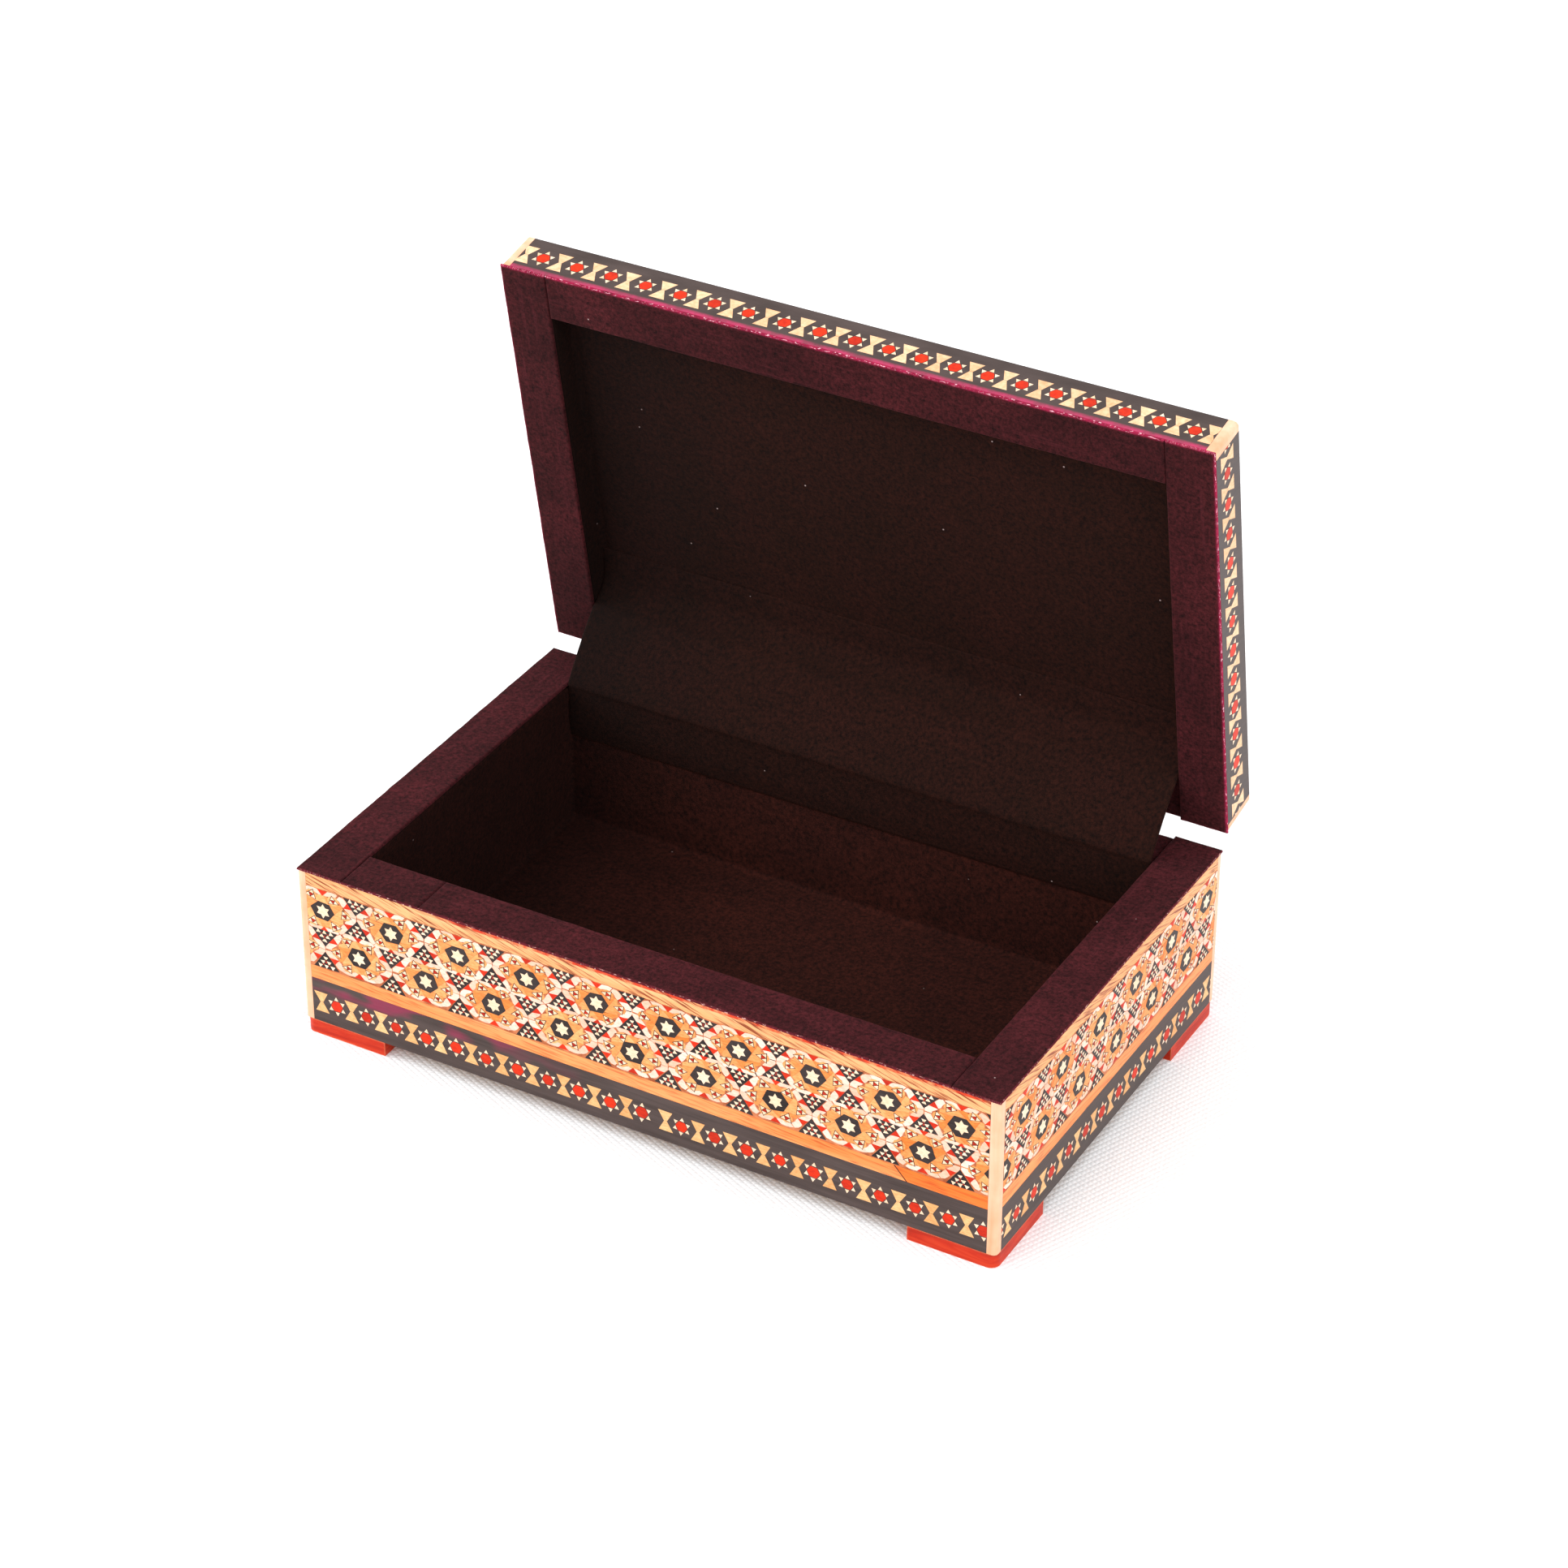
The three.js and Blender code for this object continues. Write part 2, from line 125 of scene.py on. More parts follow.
class Shader:
    """A material with one Principled shader and short ways to add nodes to it."""

    def __init__(self, name, **sockets):
        self.mat = bpy.data.materials.new(name)
        self.mat.use_nodes = True
        self.tree = self.mat.node_tree
        self.bsdf = self.tree.nodes["Principled BSDF"]
        self.coords = self.tree.nodes.new("ShaderNodeTexCoord").outputs["Object"]
        for key, value in sockets.items():
            self.bsdf.inputs[key.replace("_", " ")].default_value = value

    def node(self, kind, inputs=None, **settings):
        made = self.tree.nodes.new("ShaderNode" + kind)
        for key, value in settings.items():
            setattr(made, key, value)
        for key, value in (inputs or {}).items():
            self.feed(made.inputs[key], value)
        return made

    def feed(self, socket, value):
        if isinstance(value, bpy.types.NodeSocket):
            self.tree.links.new(value, socket)
        else:
            socket.default_value = value

    def math(self, operation, a, b=0.0, clamp=False):
        made = self.node("Math", operation=operation, use_clamp=clamp)
        self.feed(made.inputs[0], a)
        self.feed(made.inputs[1], b)
        return made.outputs[0]

    def times(self, a, b, clamp=False):
        return self.math("MULTIPLY", a, b, clamp)

    def plus(self, a, b, clamp=False):
        return self.math("ADD", a, b, clamp)

    def minus(self, a, b, clamp=False):
        return self.math("SUBTRACT", a, b, clamp)

    def divided(self, a, b):
        """a / b, kept between 0 and 1."""
        return self.math("DIVIDE", a, b, True)

    def stretched(self, scale, turn=(0, 0, 0)):
        made = self.node("Mapping", {"Vector": self.coords})
        made.inputs["Scale"].default_value = scale
        made.inputs["Rotation"].default_value = turn
        return made.outputs[0]

    def noise(self, scale, detail=3.0, rough=0.5, vector=None, distort=0.0):
        made = self.node(
            "TexNoise",
            {
                "Vector": vector or self.coords,
                "Scale": scale,
                "Detail": detail,
                "Roughness": rough,
                "Distortion": distort,
            },
        )
        return made.outputs["Fac"]

    def ramp(self, fac, stops, hard=False):
        made = self.node("ValToRGB", {"Fac": fac})
        ramp = made.color_ramp
        ramp.interpolation = "CONSTANT" if hard else "LINEAR"
        while len(ramp.elements) < len(stops):
            ramp.elements.new(1.0)
        for element, (place, color) in zip(ramp.elements, stops):
            element.position = place
            element.color = color if hasattr(color, "__len__") else (color,) * 3 + (1,)
        return made.outputs["Color"]

    def mix(self, fac, a, b, blend="MIX"):
        made = self.node("Mix", data_type="RGBA", blend_type=blend)
        self.feed(made.inputs["Factor"], fac)
        self.feed(made.inputs[6], a)
        self.feed(made.inputs[7], b)
        return made.outputs[2]

    def attribute(self, name):
        return self.node("Attribute", attribute_name=name).outputs["Fac"]

    def color(self, value):
        self.feed(self.bsdf.inputs["Base Color"], value)

    def rough(self, value):
        self.feed(self.bsdf.inputs["Roughness"], value)

    def bump(self, height, strength, distance):
        made = self.node("Bump", {"Height": height, "Strength": strength})
        made.inputs["Distance"].default_value = distance
        self.tree.links.new(made.outputs["Normal"], self.bsdf.inputs["Normal"])


SCARF_X, SCARF_SLANT = 62.5, 0.9  # the slanting joint in the front's lower strip, in mm
LOWER_STRIP_MIDDLE = 12.9
LACQUER = {"Coat_Weight": 0.08, "Coat_Roughness": 0.12, "Specular_IOR_Level": 0.12}


def tile(name, dark, light, grain):
    """One sort of inlay wood or bone: each piece has its own shade, and fine grain runs across it."""
    s = Shader(name, **LACQUER)
    shade = s.ramp(s.attribute("tint"), [(0.0, dark), (1.0, light)])
    fine = s.noise(900, 3, 0.6, s.stretched((1, 1, 2.6), (0.35, 0.3, 0.2)))
    worn = s.ramp(fine, [(0.3, grain), (0.72, (1, 1, 1, 1))])
    shade = s.mix(0.6, shade, worn, "MULTIPLY")
    s.color(shade)
    s.rough(s.plus(s.times(fine, 0.25), 0.3))
    s.bump(fine, 0.25, 0.00002)
    return s.mat


def rope_wood(name, pale, deep, line, slant, line_weight, scarf=None):
    """Light wood whose dark pores run slantwise across a narrow strip. scarf is the colour past the joint."""
    s = Shader(name, **LACQUER)
    xyz = s.node("SeparateXYZ", {0: s.coords})
    along = s.plus(xyz.outputs[0], xyz.outputs[1])
    up = xyz.outputs[2]
    across = s.plus(s.times(along, slant), up)
    flow = s.node("CombineXYZ", {0: s.times(along, 60.0), 1: s.times(across, 950.0)})
    long_flow = s.node("CombineXYZ", {0: s.times(along, 14.0), 1: s.times(up, 320.0)})
    streak = s.noise(1.0, 4, 0.6, long_flow.outputs[0], 0.4)
    pore = s.noise(1.9, 2, 0.7, flow.outputs[0], 0.3)
    wood = s.ramp(streak, [(0.25, deep), (0.7, pale)])
    if scarf:
        # a redder length of the strip, joined on with a slanting cut near the front's right end
        cut = s.minus(xyz.outputs[0], s.times(up, -SCARF_SLANT))
        joint = SCARF_X + SCARF_SLANT * (FOOT_HEIGHT + LOWER_STRIP_MIDDLE)
        past = s.math("GREATER_THAN", cut, joint * MM)
        front = s.math("LESS_THAN", xyz.outputs[1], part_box("front_lower_strip")[1].y)
        past = s.times(s.times(past, front), 0.8)
        wood = s.mix(past, wood, scarf)
    else:
        # red dye from the velvet along the top of the front's strip, from a little way in
        high = FOOT_HEIGHT + WALL_HEIGHT - 0.75
        top = s.divided(s.minus(up, high * MM), 0.2 * MM)
        patchy = s.ramp(s.noise(240, 3, 0.7), [(0.36, 0.15), (0.56, 1.0)])
        inward = s.divided(s.plus(xyz.outputs[0], 0.056), 0.012)
        front = s.math("LESS_THAN", xyz.outputs[1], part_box("front_lower_strip")[1].y)
        dyed = s.times(s.times(top, patchy), s.times(inward, front))
        wood = s.mix(s.times(dyed, 0.95), wood, srgb(214, 52, 20))
    lines = s.ramp(pore, [(0.34, line), (0.52, (1, 1, 1, 1))])
    s.color(s.mix(line_weight, wood, lines, "MULTIPLY"))
    s.rough(s.plus(s.times(pore, 0.2), 0.3))
    s.bump(pore, 0.3, 0.00003)
    return s.mat


def velvet(name, base, lifted, sheen_tint, sheen, edge_color=None, glint=None, streak_color=None):
    """Short pile with a soft sheen and specks of lint. edge_color is the frayed outer edge of a strip, glint
    the colour of the painted glints on a few threads at its cut, and streak_color its brushed streaks."""
    s = Shader(
        name,
        Roughness=0.92,
        Specular_IOR_Level=0.12,
        Sheen_Weight=sheen,
        Sheen_Roughness=0.38,
        Sheen_Tint=sheen_tint,
    )
    brushed = s.noise(48, 4, 0.6, s.stretched((1, 1.7, 1), (0, 0, 0.5)), 0.6)
    pile = s.noise(4200, 2, 0.7)
    tufts = s.noise(1150, 3, 0.75)
    shade = s.ramp(brushed, [(0.34, base), (0.7, lifted)])
    shade = s.mix(0.85, shade, s.ramp(tufts, [(0.3, 0.1), (0.7, 2.1)]), "MULTIPLY")
    speck = s.node("TexVoronoi", {"Vector": s.coords, "Scale": 115.0})
    lint = s.ramp(speck.outputs["Distance"], [(0.012, 0.7), (0.026, 0.0)])
    shade = s.mix(lint, shade, srgb(205, 180, 176))
    if edge_color:
        # long faint streaks where the strip was brushed along its length
        flow = s.node("CombineXYZ", {0: s.times(s.attribute("along"), 0.035)})
        s.feed(flow.inputs[1], s.times(s.attribute("across"), 0.75))
        streak = s.ramp(s.noise(1.0, 3, 0.6, flow.outputs[0]), [(0.56, 0.0), (0.78, 0.22)])
        shade = s.mix(streak, shade, streak_color)
        frayed = s.noise(500, 4, 0.8)
        bits = s.ramp(frayed, [(0.3, 0.25), (0.6, 1.0)])
        shade = s.mix(s.times(s.attribute("edge"), bits), shade, edge_color)
        # painted highlight: thin bright glints on a few threads along the cut edge
        flow = s.node("CombineXYZ", {0: s.times(s.attribute("along"), 0.9)})
        s.feed(flow.inputs[1], s.times(s.attribute("across"), 9.0))
        painted_glint_threads = s.ramp(s.noise(1.0, 3, 0.7, flow.outputs[0]), [(0.57, 0.0), (0.62, 0.9)])
        at_cut = s.ramp(s.attribute("edge"), [(0.45, 0.0), (0.8, 1.0)])
        shade = s.mix(s.times(at_cut, painted_glint_threads), shade, glint)
    else:
        # painted shade: each lining is painted darker towards the left, standing in for the shadow its left
        # side casts there
        x = s.node("SeparateXYZ", {0: s.coords}).outputs[0]
        painted_shade_left = s.divided(s.plus(x, 0.078), 0.05)
        shade = s.mix(1.0, shade, s.ramp(painted_shade_left, [(0.0, 0.38), (1.0, 1.0)]), "MULTIPLY")
    s.color(shade)
    s.bump(s.plus(pile, s.times(tufts, 1.5)), 0.6, 0.00012)
    return s.mat


TILE_MATERIALS = {
    kind: tile(name, srgb(*dark), srgb(*light), srgb(*grain))
    for kind, name, dark, light, grain in (
        ("cream", "cream_inlay", (236, 204, 162), (252, 230, 206), (220, 196, 166)),
        ("bone", "bone_inlay", (240, 196, 170), (254, 230, 214), (226, 190, 172)),
        ("red", "red_inlay", (160, 32, 10), (236, 56, 8), (190, 70, 36)),
        ("black", "black_inlay", (44, 36, 35), (64, 54, 53), (140, 110, 100)),
        ("orange", "orange_inlay", (226, 132, 52), (250, 190, 126), (222, 152, 96)),
        ("tan", "tan_inlay", (230, 172, 110), (248, 206, 150), (214, 160, 106)),
        ("pale", "pale_inlay", (234, 190, 148), (250, 216, 178), (216, 176, 136)),
        ("seam", "glue_seam", (52, 26, 16), (88, 44, 24), (120, 90, 70)),
    )
}


def bed_material():
    """What shows between the marquetry's pieces: orange-pink glue and sawdust."""
    s = Shader("khatam_bed", **LACQUER)
    s.color(s.ramp(s.noise(500, 3), [(0.3, srgb(150, 74, 40)), (0.7, srgb(214, 132, 88))]))
    s.rough(0.5)
    return s.mat


def along_lid(s, direction, start):
    """How far a point lies along one of the lid's own directions, in metres from start millimetres."""
    way = (LID.to_3x3() @ Vector(direction)).normalized()
    zero = (LID @ (Vector(direction) * start)).dot(way) * MM
    made = s.node("VectorMath", {0: s.coords, 1: tuple(way)}, operation="DOT_PRODUCT")
    return s.minus(made.outputs["Value"], zero)


def border_material(lid=False):
    """Black-dyed wood under lacquer, with smears of magenta glue on the front."""
    s = Shader("lid_border_black" if lid else "border_black", **LACQUER)
    grain = s.noise(60, 4, 0.6, s.stretched((1, 1, 16)))
    shade = s.ramp(grain, [(0.3, srgb(62, 51, 48)), (0.7, srgb(82, 69, 66))])
    xyz = s.node("SeparateXYZ", {0: s.coords})
    low = FOOT_HEIGHT + 7.4
    above = s.divided(s.minus(xyz.outputs[2], low * MM), 1.2 * MM)
    left = s.divided(s.minus(-0.012, xyz.outputs[0]), 0.03)
    front = s.math("LESS_THAN", xyz.outputs[1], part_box("front_border_band")[1].y)
    smear = s.ramp(s.noise(70, 2, 0.5, s.stretched((1, 1, 2.2))), [(0.47, 0.0), (0.6, 1.0)])
    where = s.times(s.times(above, left), s.times(front, smear))
    shade = s.mix(s.times(where, 0.5), shade, srgb(166, 34, 84))
    if lid:
        # the velvet's dye has bled into the free edge's band next to the rim
        out = along_lid(s, (0, 0, 1), RAIL_BOTTOM)
        forward = along_lid(s, (0, -1, 0), HALF_Y - 1.0)
        far = s.divided(out, 1.3 * MM)
        blot = s.ramp(s.noise(210, 4, 0.75), [(0.3, 0.25), (0.6, 1.0)])
        bled = s.times(s.minus(1.0, s.math("POWER", far, 2.0)), blot)
        bled = s.times(bled, s.math("GREATER_THAN", forward, 0.0))
        shade = s.mix(s.times(bled, 0.9), shade, srgb(196, 52, 100))
    s.color(shade)
    s.rough(s.plus(s.times(grain, 0.2), 0.32))
    s.bump(grain, 0.2, 0.00003)
    return s.mat


def plain_wood():
    s = Shader("plain_wood", Specular_IOR_Level=0.3)
    rings = s.noise(34, 5, 0.6, s.stretched((1, 5, 9)), 0.5)
    pores = s.noise(700, 2, 0.6, s.stretched((0.12, 1, 1)))
    shade = s.ramp(rings, [(0.3, srgb(168, 116, 70)), (0.72, srgb(212, 166, 116))])
    s.color(s.mix(0.5, shade, s.ramp(pores, [(0.3, 0.6), (0.6, 1.0)]), "MULTIPLY"))
    s.rough(0.68)
    s.bump(pores, 0.3, 0.00006)
    return s.mat


def post_wood():
    """Cream strips: straight faint grain, a little darker in scattered patches, and worn edges."""
    s = Shader("cream_post", **LACQUER)
    grain = s.noise(300, 4, 0.6, s.stretched((1, 1, 0.05)), 0.2)
    dirt = s.noise(120, 3, 0.6)
    shade = s.ramp(grain, [(0.3, srgb(230, 172, 134)), (0.65, srgb(246, 200, 170))])
    s.color(s.mix(0.35, shade, s.ramp(dirt, [(0.3, srgb(230, 180, 130)), (0.6, (1, 1, 1, 1))]), "MULTIPLY"))
    s.rough(s.plus(s.times(dirt, 0.2), 0.32))
    s.bump(grain, 0.2, 0.00004)
    return s.mat


def foot_wood():
    """Red-dyed blocks, paler where the edges are rubbed."""
    s = Shader("foot_red", **LACQUER)
    grain = s.noise(90, 5, 0.65, s.stretched((0.5, 0.5, 5)), 0.7)
    spots = s.noise(420, 3, 0.7)
    shade = s.ramp(grain, [(0.28, srgb(150, 28, 12)), (0.5, srgb(190, 44, 18)), (0.75, srgb(214, 72, 34))])
    bevel = s.node("Bevel", {"Radius": 0.0006}, samples=4)
    normal = s.node("NewGeometry").outputs["Normal"]
    edge = s.node("VectorMath", {0: bevel.outputs[0], 1: normal}, operation="DOT_PRODUCT")
    rubbed = s.times(s.minus(1.0, edge.outputs["Value"], clamp=True), 2.2, clamp=True)
    s.color(s.mix(s.times(rubbed, spots), shade, srgb(250, 170, 120)))
    s.rough(s.plus(s.times(spots, 0.25), 0.3))
    s.bump(grain, 0.35, 0.00008)
    return s.mat


def brass():
    s = Shader("pressed_brass", Metallic=1.0)
    tarnish = s.noise(160, 4, 0.65)
    scratch = s.noise(900, 2, 0.6, s.stretched((0.1, 1, 1)))
    s.color(s.ramp(tarnish, [(0.3, srgb(150, 112, 56)), (0.7, srgb(214, 176, 98))]))
    s.rough(s.plus(s.times(scratch, 0.3), 0.2))
    s.bump(scratch, 0.15, 0.00002)
    return s.mat


RIM_CLOTH = velvet(
    "rim_velvet",
    srgb(46, 13, 16),
    srgb(62, 20, 24),
    srgb(225, 120, 130),
    0.11,
    srgb(104, 30, 42),
    srgb(216, 170, 160),
    srgb(112, 48, 56),
)
LID_RIM_CLOTH = velvet(
    "lid_rim_velvet",
    srgb(42, 11, 13),
    srgb(58, 18, 21),
    srgb(225, 115, 125),
    0.11,
    srgb(168, 32, 72),
    srgb(250, 190, 205),
    srgb(112, 44, 54),
)
# painted light: the base's lining is the same velvet as the lid's lining, its colour painted lighter to stand
# in for the light that falls on it
LINING_CLOTH_PAINTED_LIGHTER = velvet("lining_velvet", srgb(40, 14, 9), srgb(48, 18, 12), srgb(225, 110, 80), 0.045)
LID_CLOTH = velvet("lid_lining_velvet", srgb(27, 9, 4), srgb(33, 11, 6), srgb(230, 115, 70), 0.035)
STRIP_CLOTH = velvet("strip_velvet", srgb(28, 10, 5), srgb(34, 12, 7), srgb(230, 115, 75), 0.035)
PALE_STRIP = rope_wood("pale_strip", srgb(246, 184, 128), srgb(232, 150, 92), srgb(136, 72, 40), 0.3, 0.95)
DEEP_STRIP = rope_wood(
    "orange_strip", srgb(246, 166, 106), srgb(238, 130, 60), srgb(180, 92, 44), 0.06, 0.55, srgb(236, 110, 30)
)

NODE_MATERIALS = [
    ("khatam_panel", bed_material()),
    ("lid_top_veneer", bed_material()),
    ("border_band", border_material()),
    ("edge_band", border_material(True)),
    ("upper_strip", PALE_STRIP),
    ("lower_strip", DEEP_STRIP),
    ("post_", post_wood()),
    ("foot_", foot_wood()),
    ("leaf", brass()),
    ("pin", brass()),
    ("rim_velvet", RIM_CLOTH),
    ("lid_lining", LID_CLOTH),
    ("lining", LINING_CLOTH_PAINTED_LIGHTER),
    ("hinge_cloth", STRIP_CLOTH),
    ("", plain_wood()),
]
for name, node in frame["nodes"].items():
    material = next(m for key, m in NODE_MATERIALS if key in name)
    node.data.materials.clear()
    node.data.materials.append(material)

# worn edges on the solid pieces
for name, node in frame["nodes"].items():
    width = 0.85 if name.startswith("foot_") else 0.3 if "post_" in name else 0.0
    if width:
        bevel = node.modifiers.new("worn_edges", "BEVEL")
        bevel.width = width * MM
        bevel.segments = 4
        bevel.limit_method = "ANGLE"
        bevel.angle_limit = math.radians(40)


# ---- mesh making
def new_piece(name, verts, faces, matrix, body, materials, replaced=(), smooth=False):
    """A mesh drawn in millimetres, put in place by matrix, riding on a body."""
    mesh = bpy.data.meshes.new(name)
    mesh.from_pydata([(matrix @ Vector(v)) * MM for v in verts], [], faces)
    for material in materials:
        mesh.materials.append(material)
    if smooth:
        mesh.polygons.foreach_set("use_smooth", [True] * len(mesh.polygons))
    piece = bpy.data.objects.new(name, mesh)
    bpy.context.scene.collection.objects.link(piece)
    if body:
        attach(piece, body)
    if replaced:
        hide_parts(*replaced)
    return piece


class Inlay:
    """Thin pieces of wood and bone laid side by side on a flat face, each a small closed prism."""

    STEP = 0.014

    def __init__(self, width, height):
        self.width, self.height = width, height
        self.verts, self.faces, self.kinds, self.tints = [], [], [], []
        self.names = []

    def clip(self, points):
        for axis, limit, sign in ((0, 0.0, 1), (0, self.width, -1), (1, 0.0, 1), (1, self.height, -1)):
            kept = []
            for a, b in zip(points, points[1:] + points[:1]):
                da, db = sign * (a[axis] - limit), sign * (b[axis] - limit)
                if da >= 0:
                    kept.append(a)
                if (da > 0) != (db > 0) and da != db:
                    t = da / (da - db)
                    kept.append((a[0] + t * (b[0] - a[0]), a[1] + t * (b[1] - a[1])))
            points = kept
            if len(points) < 3:
                return []
        tidy = []
        for p in points:
            if not tidy or math.dist(p, tidy[-1]) > 0.01:
                tidy.append(p)
        while len(tidy) > 1 and math.dist(tidy[0], tidy[-1]) <= 0.01:
            tidy.pop()
        return tidy if len(tidy) > 2 else []

    def add(self, points, level, kind, tint):
        points = self.clip([(float(x), float(y)) for x, y in points])
        if not points:
            return
        area = sum(a[0] * b[1] - b[0] * a[1] for a, b in zip(points, points[1:] + points[:1]))
        if abs(area) < 0.02:
            return
        if area < 0:
            points = points[::-1]
        n, start = len(points), len(self.verts)
        top = self.STEP * (level + 1)
        self.verts += [(x, y, top) for x, y in points] + [(x, y, -0.002) for x, y in points]
        made = [tuple(range(start, start + n)), tuple(reversed(range(start + n, start + 2 * n)))]
        for i in range(n):
            j = (i + 1) % n
            made.append((start + n + i, start + n + j, start + j, start + i))
        if kind not in self.names:
            self.names.append(kind)
        self.faces += made
        self.kinds += [self.names.index(kind)] * len(made)
        self.tints += [tint] * len(made)

    def piece(self, name, matrix, body, slot):
        materials = [TILE_MATERIALS[kind] for kind in self.names]
        made = new_piece(name, self.verts, self.faces, matrix, body, materials)
        made.data.polygons.foreach_set("material_index", self.kinds)
        tint = made.data.attributes.new("tint", "FLOAT", "FACE")
        tint.data.foreach_set("value", self.tints)
        return made


def turned(points, angle, x=0.0, y=0.0, squash=1.0):
    c, s = math.cos(angle), math.sin(angle)
    return [(x + c * px - s * py, y + squash * (s * px + c * py)) for px, py in points]


def polygon(radius, corners, start=0.0):
    step = 2 * math.pi / corners
    angles = [start + i * step for i in range(corners)]
    return [(radius * math.cos(a), radius * math.sin(a)) for a in angles]


def star(radius, inner):
    out = []
    for i in range(12):
        r = radius if i % 2 == 0 else inner
        angle = math.radians(90 + 30 * i)
        out.append((r * math.cos(angle), r * math.sin(angle)))
    return out


def shrunk(points, gap):
    """A convex outline drawn in by a small gap on every side."""
    cx = sum(p[0] for p in points) / len(points)
    cy = sum(p[1] for p in points) / len(points)
    reach = sum(math.dist(p, (cx, cy)) for p in points) / len(points)
    k = max(0.2, 1 - gap / reach)
    return [(cx + k * (x - cx), cy + k * (y - cy)) for x, y in points]


# ---- the star marquetry
PITCH = 17.22
ROW = PITCH * math.sqrt(3) / 2
SQUASH = 9.7 / ROW
SIXTH = math.pi / 3
HEXAGON_REACH = 5.15  # from a star's middle to the flat sides of its orange hexagon
HEXAGON_HOLE, BLACK_HEXAGON = 2.95, 2.98
STAR_TIP, STAR_NOTCH = 1.82, 1.08
GROUP_REACH, GROUP_GROUND = 5.55, 1.5  # the small groups: their distance from the middle, and their ground
TRIANGLE, TRIANGLE_SPREAD = 3.8, 1.58  # the dark triangles, and how far apart their white pieces stand
LOZENGE = [(8.58, 0.03), (8.6, 1.1), (8.2, 2.05), (7.5, 3.05), (6.5, 3.35), (5.3, 3.05)]
LOZENGE += [(5.75, 2.2), (6.3, 1.6), (6.8, 0.9), (6.95, 0.03)]


def khatam(inlay, rows, rng, lean=()):
    """Rows of stars: rows holds (height, place of the first star) from the top row down, and lean the
    rise of the meeting points between the stars of each row."""
    lean = list(lean) or [0.0] * len(rows)

    def warp(x, y):
        # the pieces between the stars were pushed up or down a little when the rods were cut
        heights = [row[0] for row in rows]
        if y >= heights[0] or len(rows) == 1:
            pairs = [(0, 1.0)]
        elif y <= heights[-1]:
            pairs = [(len(rows) - 1, 1.0)]
        else:
            i = max(k for k, h in enumerate(heights) if h >= y)
            t = (heights[i] - y) / (heights[i] - heights[i + 1])
            pairs = [(i, 1 - t), (i + 1, t)]
        for i, weight in pairs:
            phase = 2 * math.pi * (x - rows[i][1]) / PITCH
            y += weight * lean[i] * (1 - math.cos(phase)) / 2
        return y

    def lay(points, cx, cy, squash, level, kind, tint, gap=0.035):
        placed = [(cx + x, cy + squash * y) for x, y in points]
        placed = [(x, warp(x, y)) for x, y in placed]
        inlay.add(shrunk(placed, gap), level, kind, tint)

    def medallion(cx, cy):
        ox, oy = rng.uniform(-0.18, 0.18), rng.uniform(-0.15, 0.15)
        twist = math.radians(rng.uniform(-9, 9))
        wood = rng.uniform(0.25, 0.75)
        outer = polygon(HEXAGON_REACH / math.cos(SIXTH / 2), 6, SIXTH / 2)
        inner = turned(polygon(HEXAGON_HOLE, 6), twist)
        squeeze = SQUASH * 1.12
        for k in range(6):
            place = k * SIXTH
            # two bone lozenges beside each small group, and the red tooth between them
            for side in (1, -1):
                shape = [(x + rng.uniform(-0.09, 0.09), side * y) for x, y in LOZENGE]
                shape = turned(shape, place + math.radians(rng.uniform(-2.5, 2.5)))
                lay(shape, cx, cy, SQUASH, 0, "bone", rng.random(), 0.065)
            tooth = [(5.95, rng.uniform(-0.2, 0.2)), (8.1, 1.35), (8.1, -1.35)]
            lay(turned(tooth, place + SIXTH / 2), cx, cy, SQUASH, 2, "red", 0.4 + 0.6 * rng.random(), 0.05)
        for k in range(6):
            # the orange pinwheel: each piece runs on past the hexagon's corner
            a, b = inner[k - 1], inner[k]
            ends = []
            for p, q in ((a, b), (b, inner[(k + 1) % 6])):
                d = (q[0] - p[0], q[1] - p[1])
                best = 20.0
                for m in range(6):
                    nx, ny = math.cos(m * SIXTH), math.sin(m * SIXTH)
                    along = d[0] * nx + d[1] * ny
                    if along > 1e-6:
                        best = min(best, (HEXAGON_REACH - q[0] * nx - q[1] * ny) / along)
                ends.append((q[0] + best * d[0], q[1] + best * d[1]))
            between = ((ends[0][0] + ends[1][0]) / 2, (ends[0][1] + ends[1][1]) / 2)
            corner = max(outer, key=lambda c: -math.dist(c, between))
            shape = [b, ends[0], corner, ends[1]]
            tint = min(1, max(0, wood + (0.22 if k % 2 else -0.18) + rng.uniform(-0.12, 0.12)))
            lay(shape, cx + ox * 0.5, cy + oy * 0.5, squeeze, 1, "orange", tint, 0.045)
        for k in range(6):
            place = k * SIXTH
            reach = GROUP_REACH + rng.uniform(-0.25, 0.25)
            gx, gy = reach * math.cos(place), reach * math.sin(place) * SQUASH * 1.04
            gx, gy = gx + rng.uniform(-0.15, 0.15), gy + rng.uniform(-0.12, 0.12)
            middle = warp(cx + gx, cy + gy)
            ground = [(cx + gx + x, middle + 0.8 * y) for x, y in polygon(GROUP_GROUND, 9, place)]
            inlay.add(ground, 2, "orange", min(1, max(0, wood + rng.uniform(0.0, 0.4))))
            small_group(cx + gx, middle, place + rng.uniform(-0.35, 0.35) + rng.choice((0, SIXTH)))
        dark = [
            (1.05 * x + rng.uniform(-0.22, 0.22), y + rng.uniform(-0.22, 0.22))
            for x, y in polygon(BLACK_HEXAGON, 6)
        ]
        lay(turned(dark, twist), cx + ox, cy + oy, 0.88, 4, "black", rng.random(), 0.0)
        shape = turned(star(STAR_TIP, STAR_NOTCH), twist * 0.5 + math.radians(rng.uniform(-5, 5)))
        lay(shape, cx + ox, cy + oy, 0.98, 5, "cream", 0.6 + 0.4 * rng.random(), 0.0)

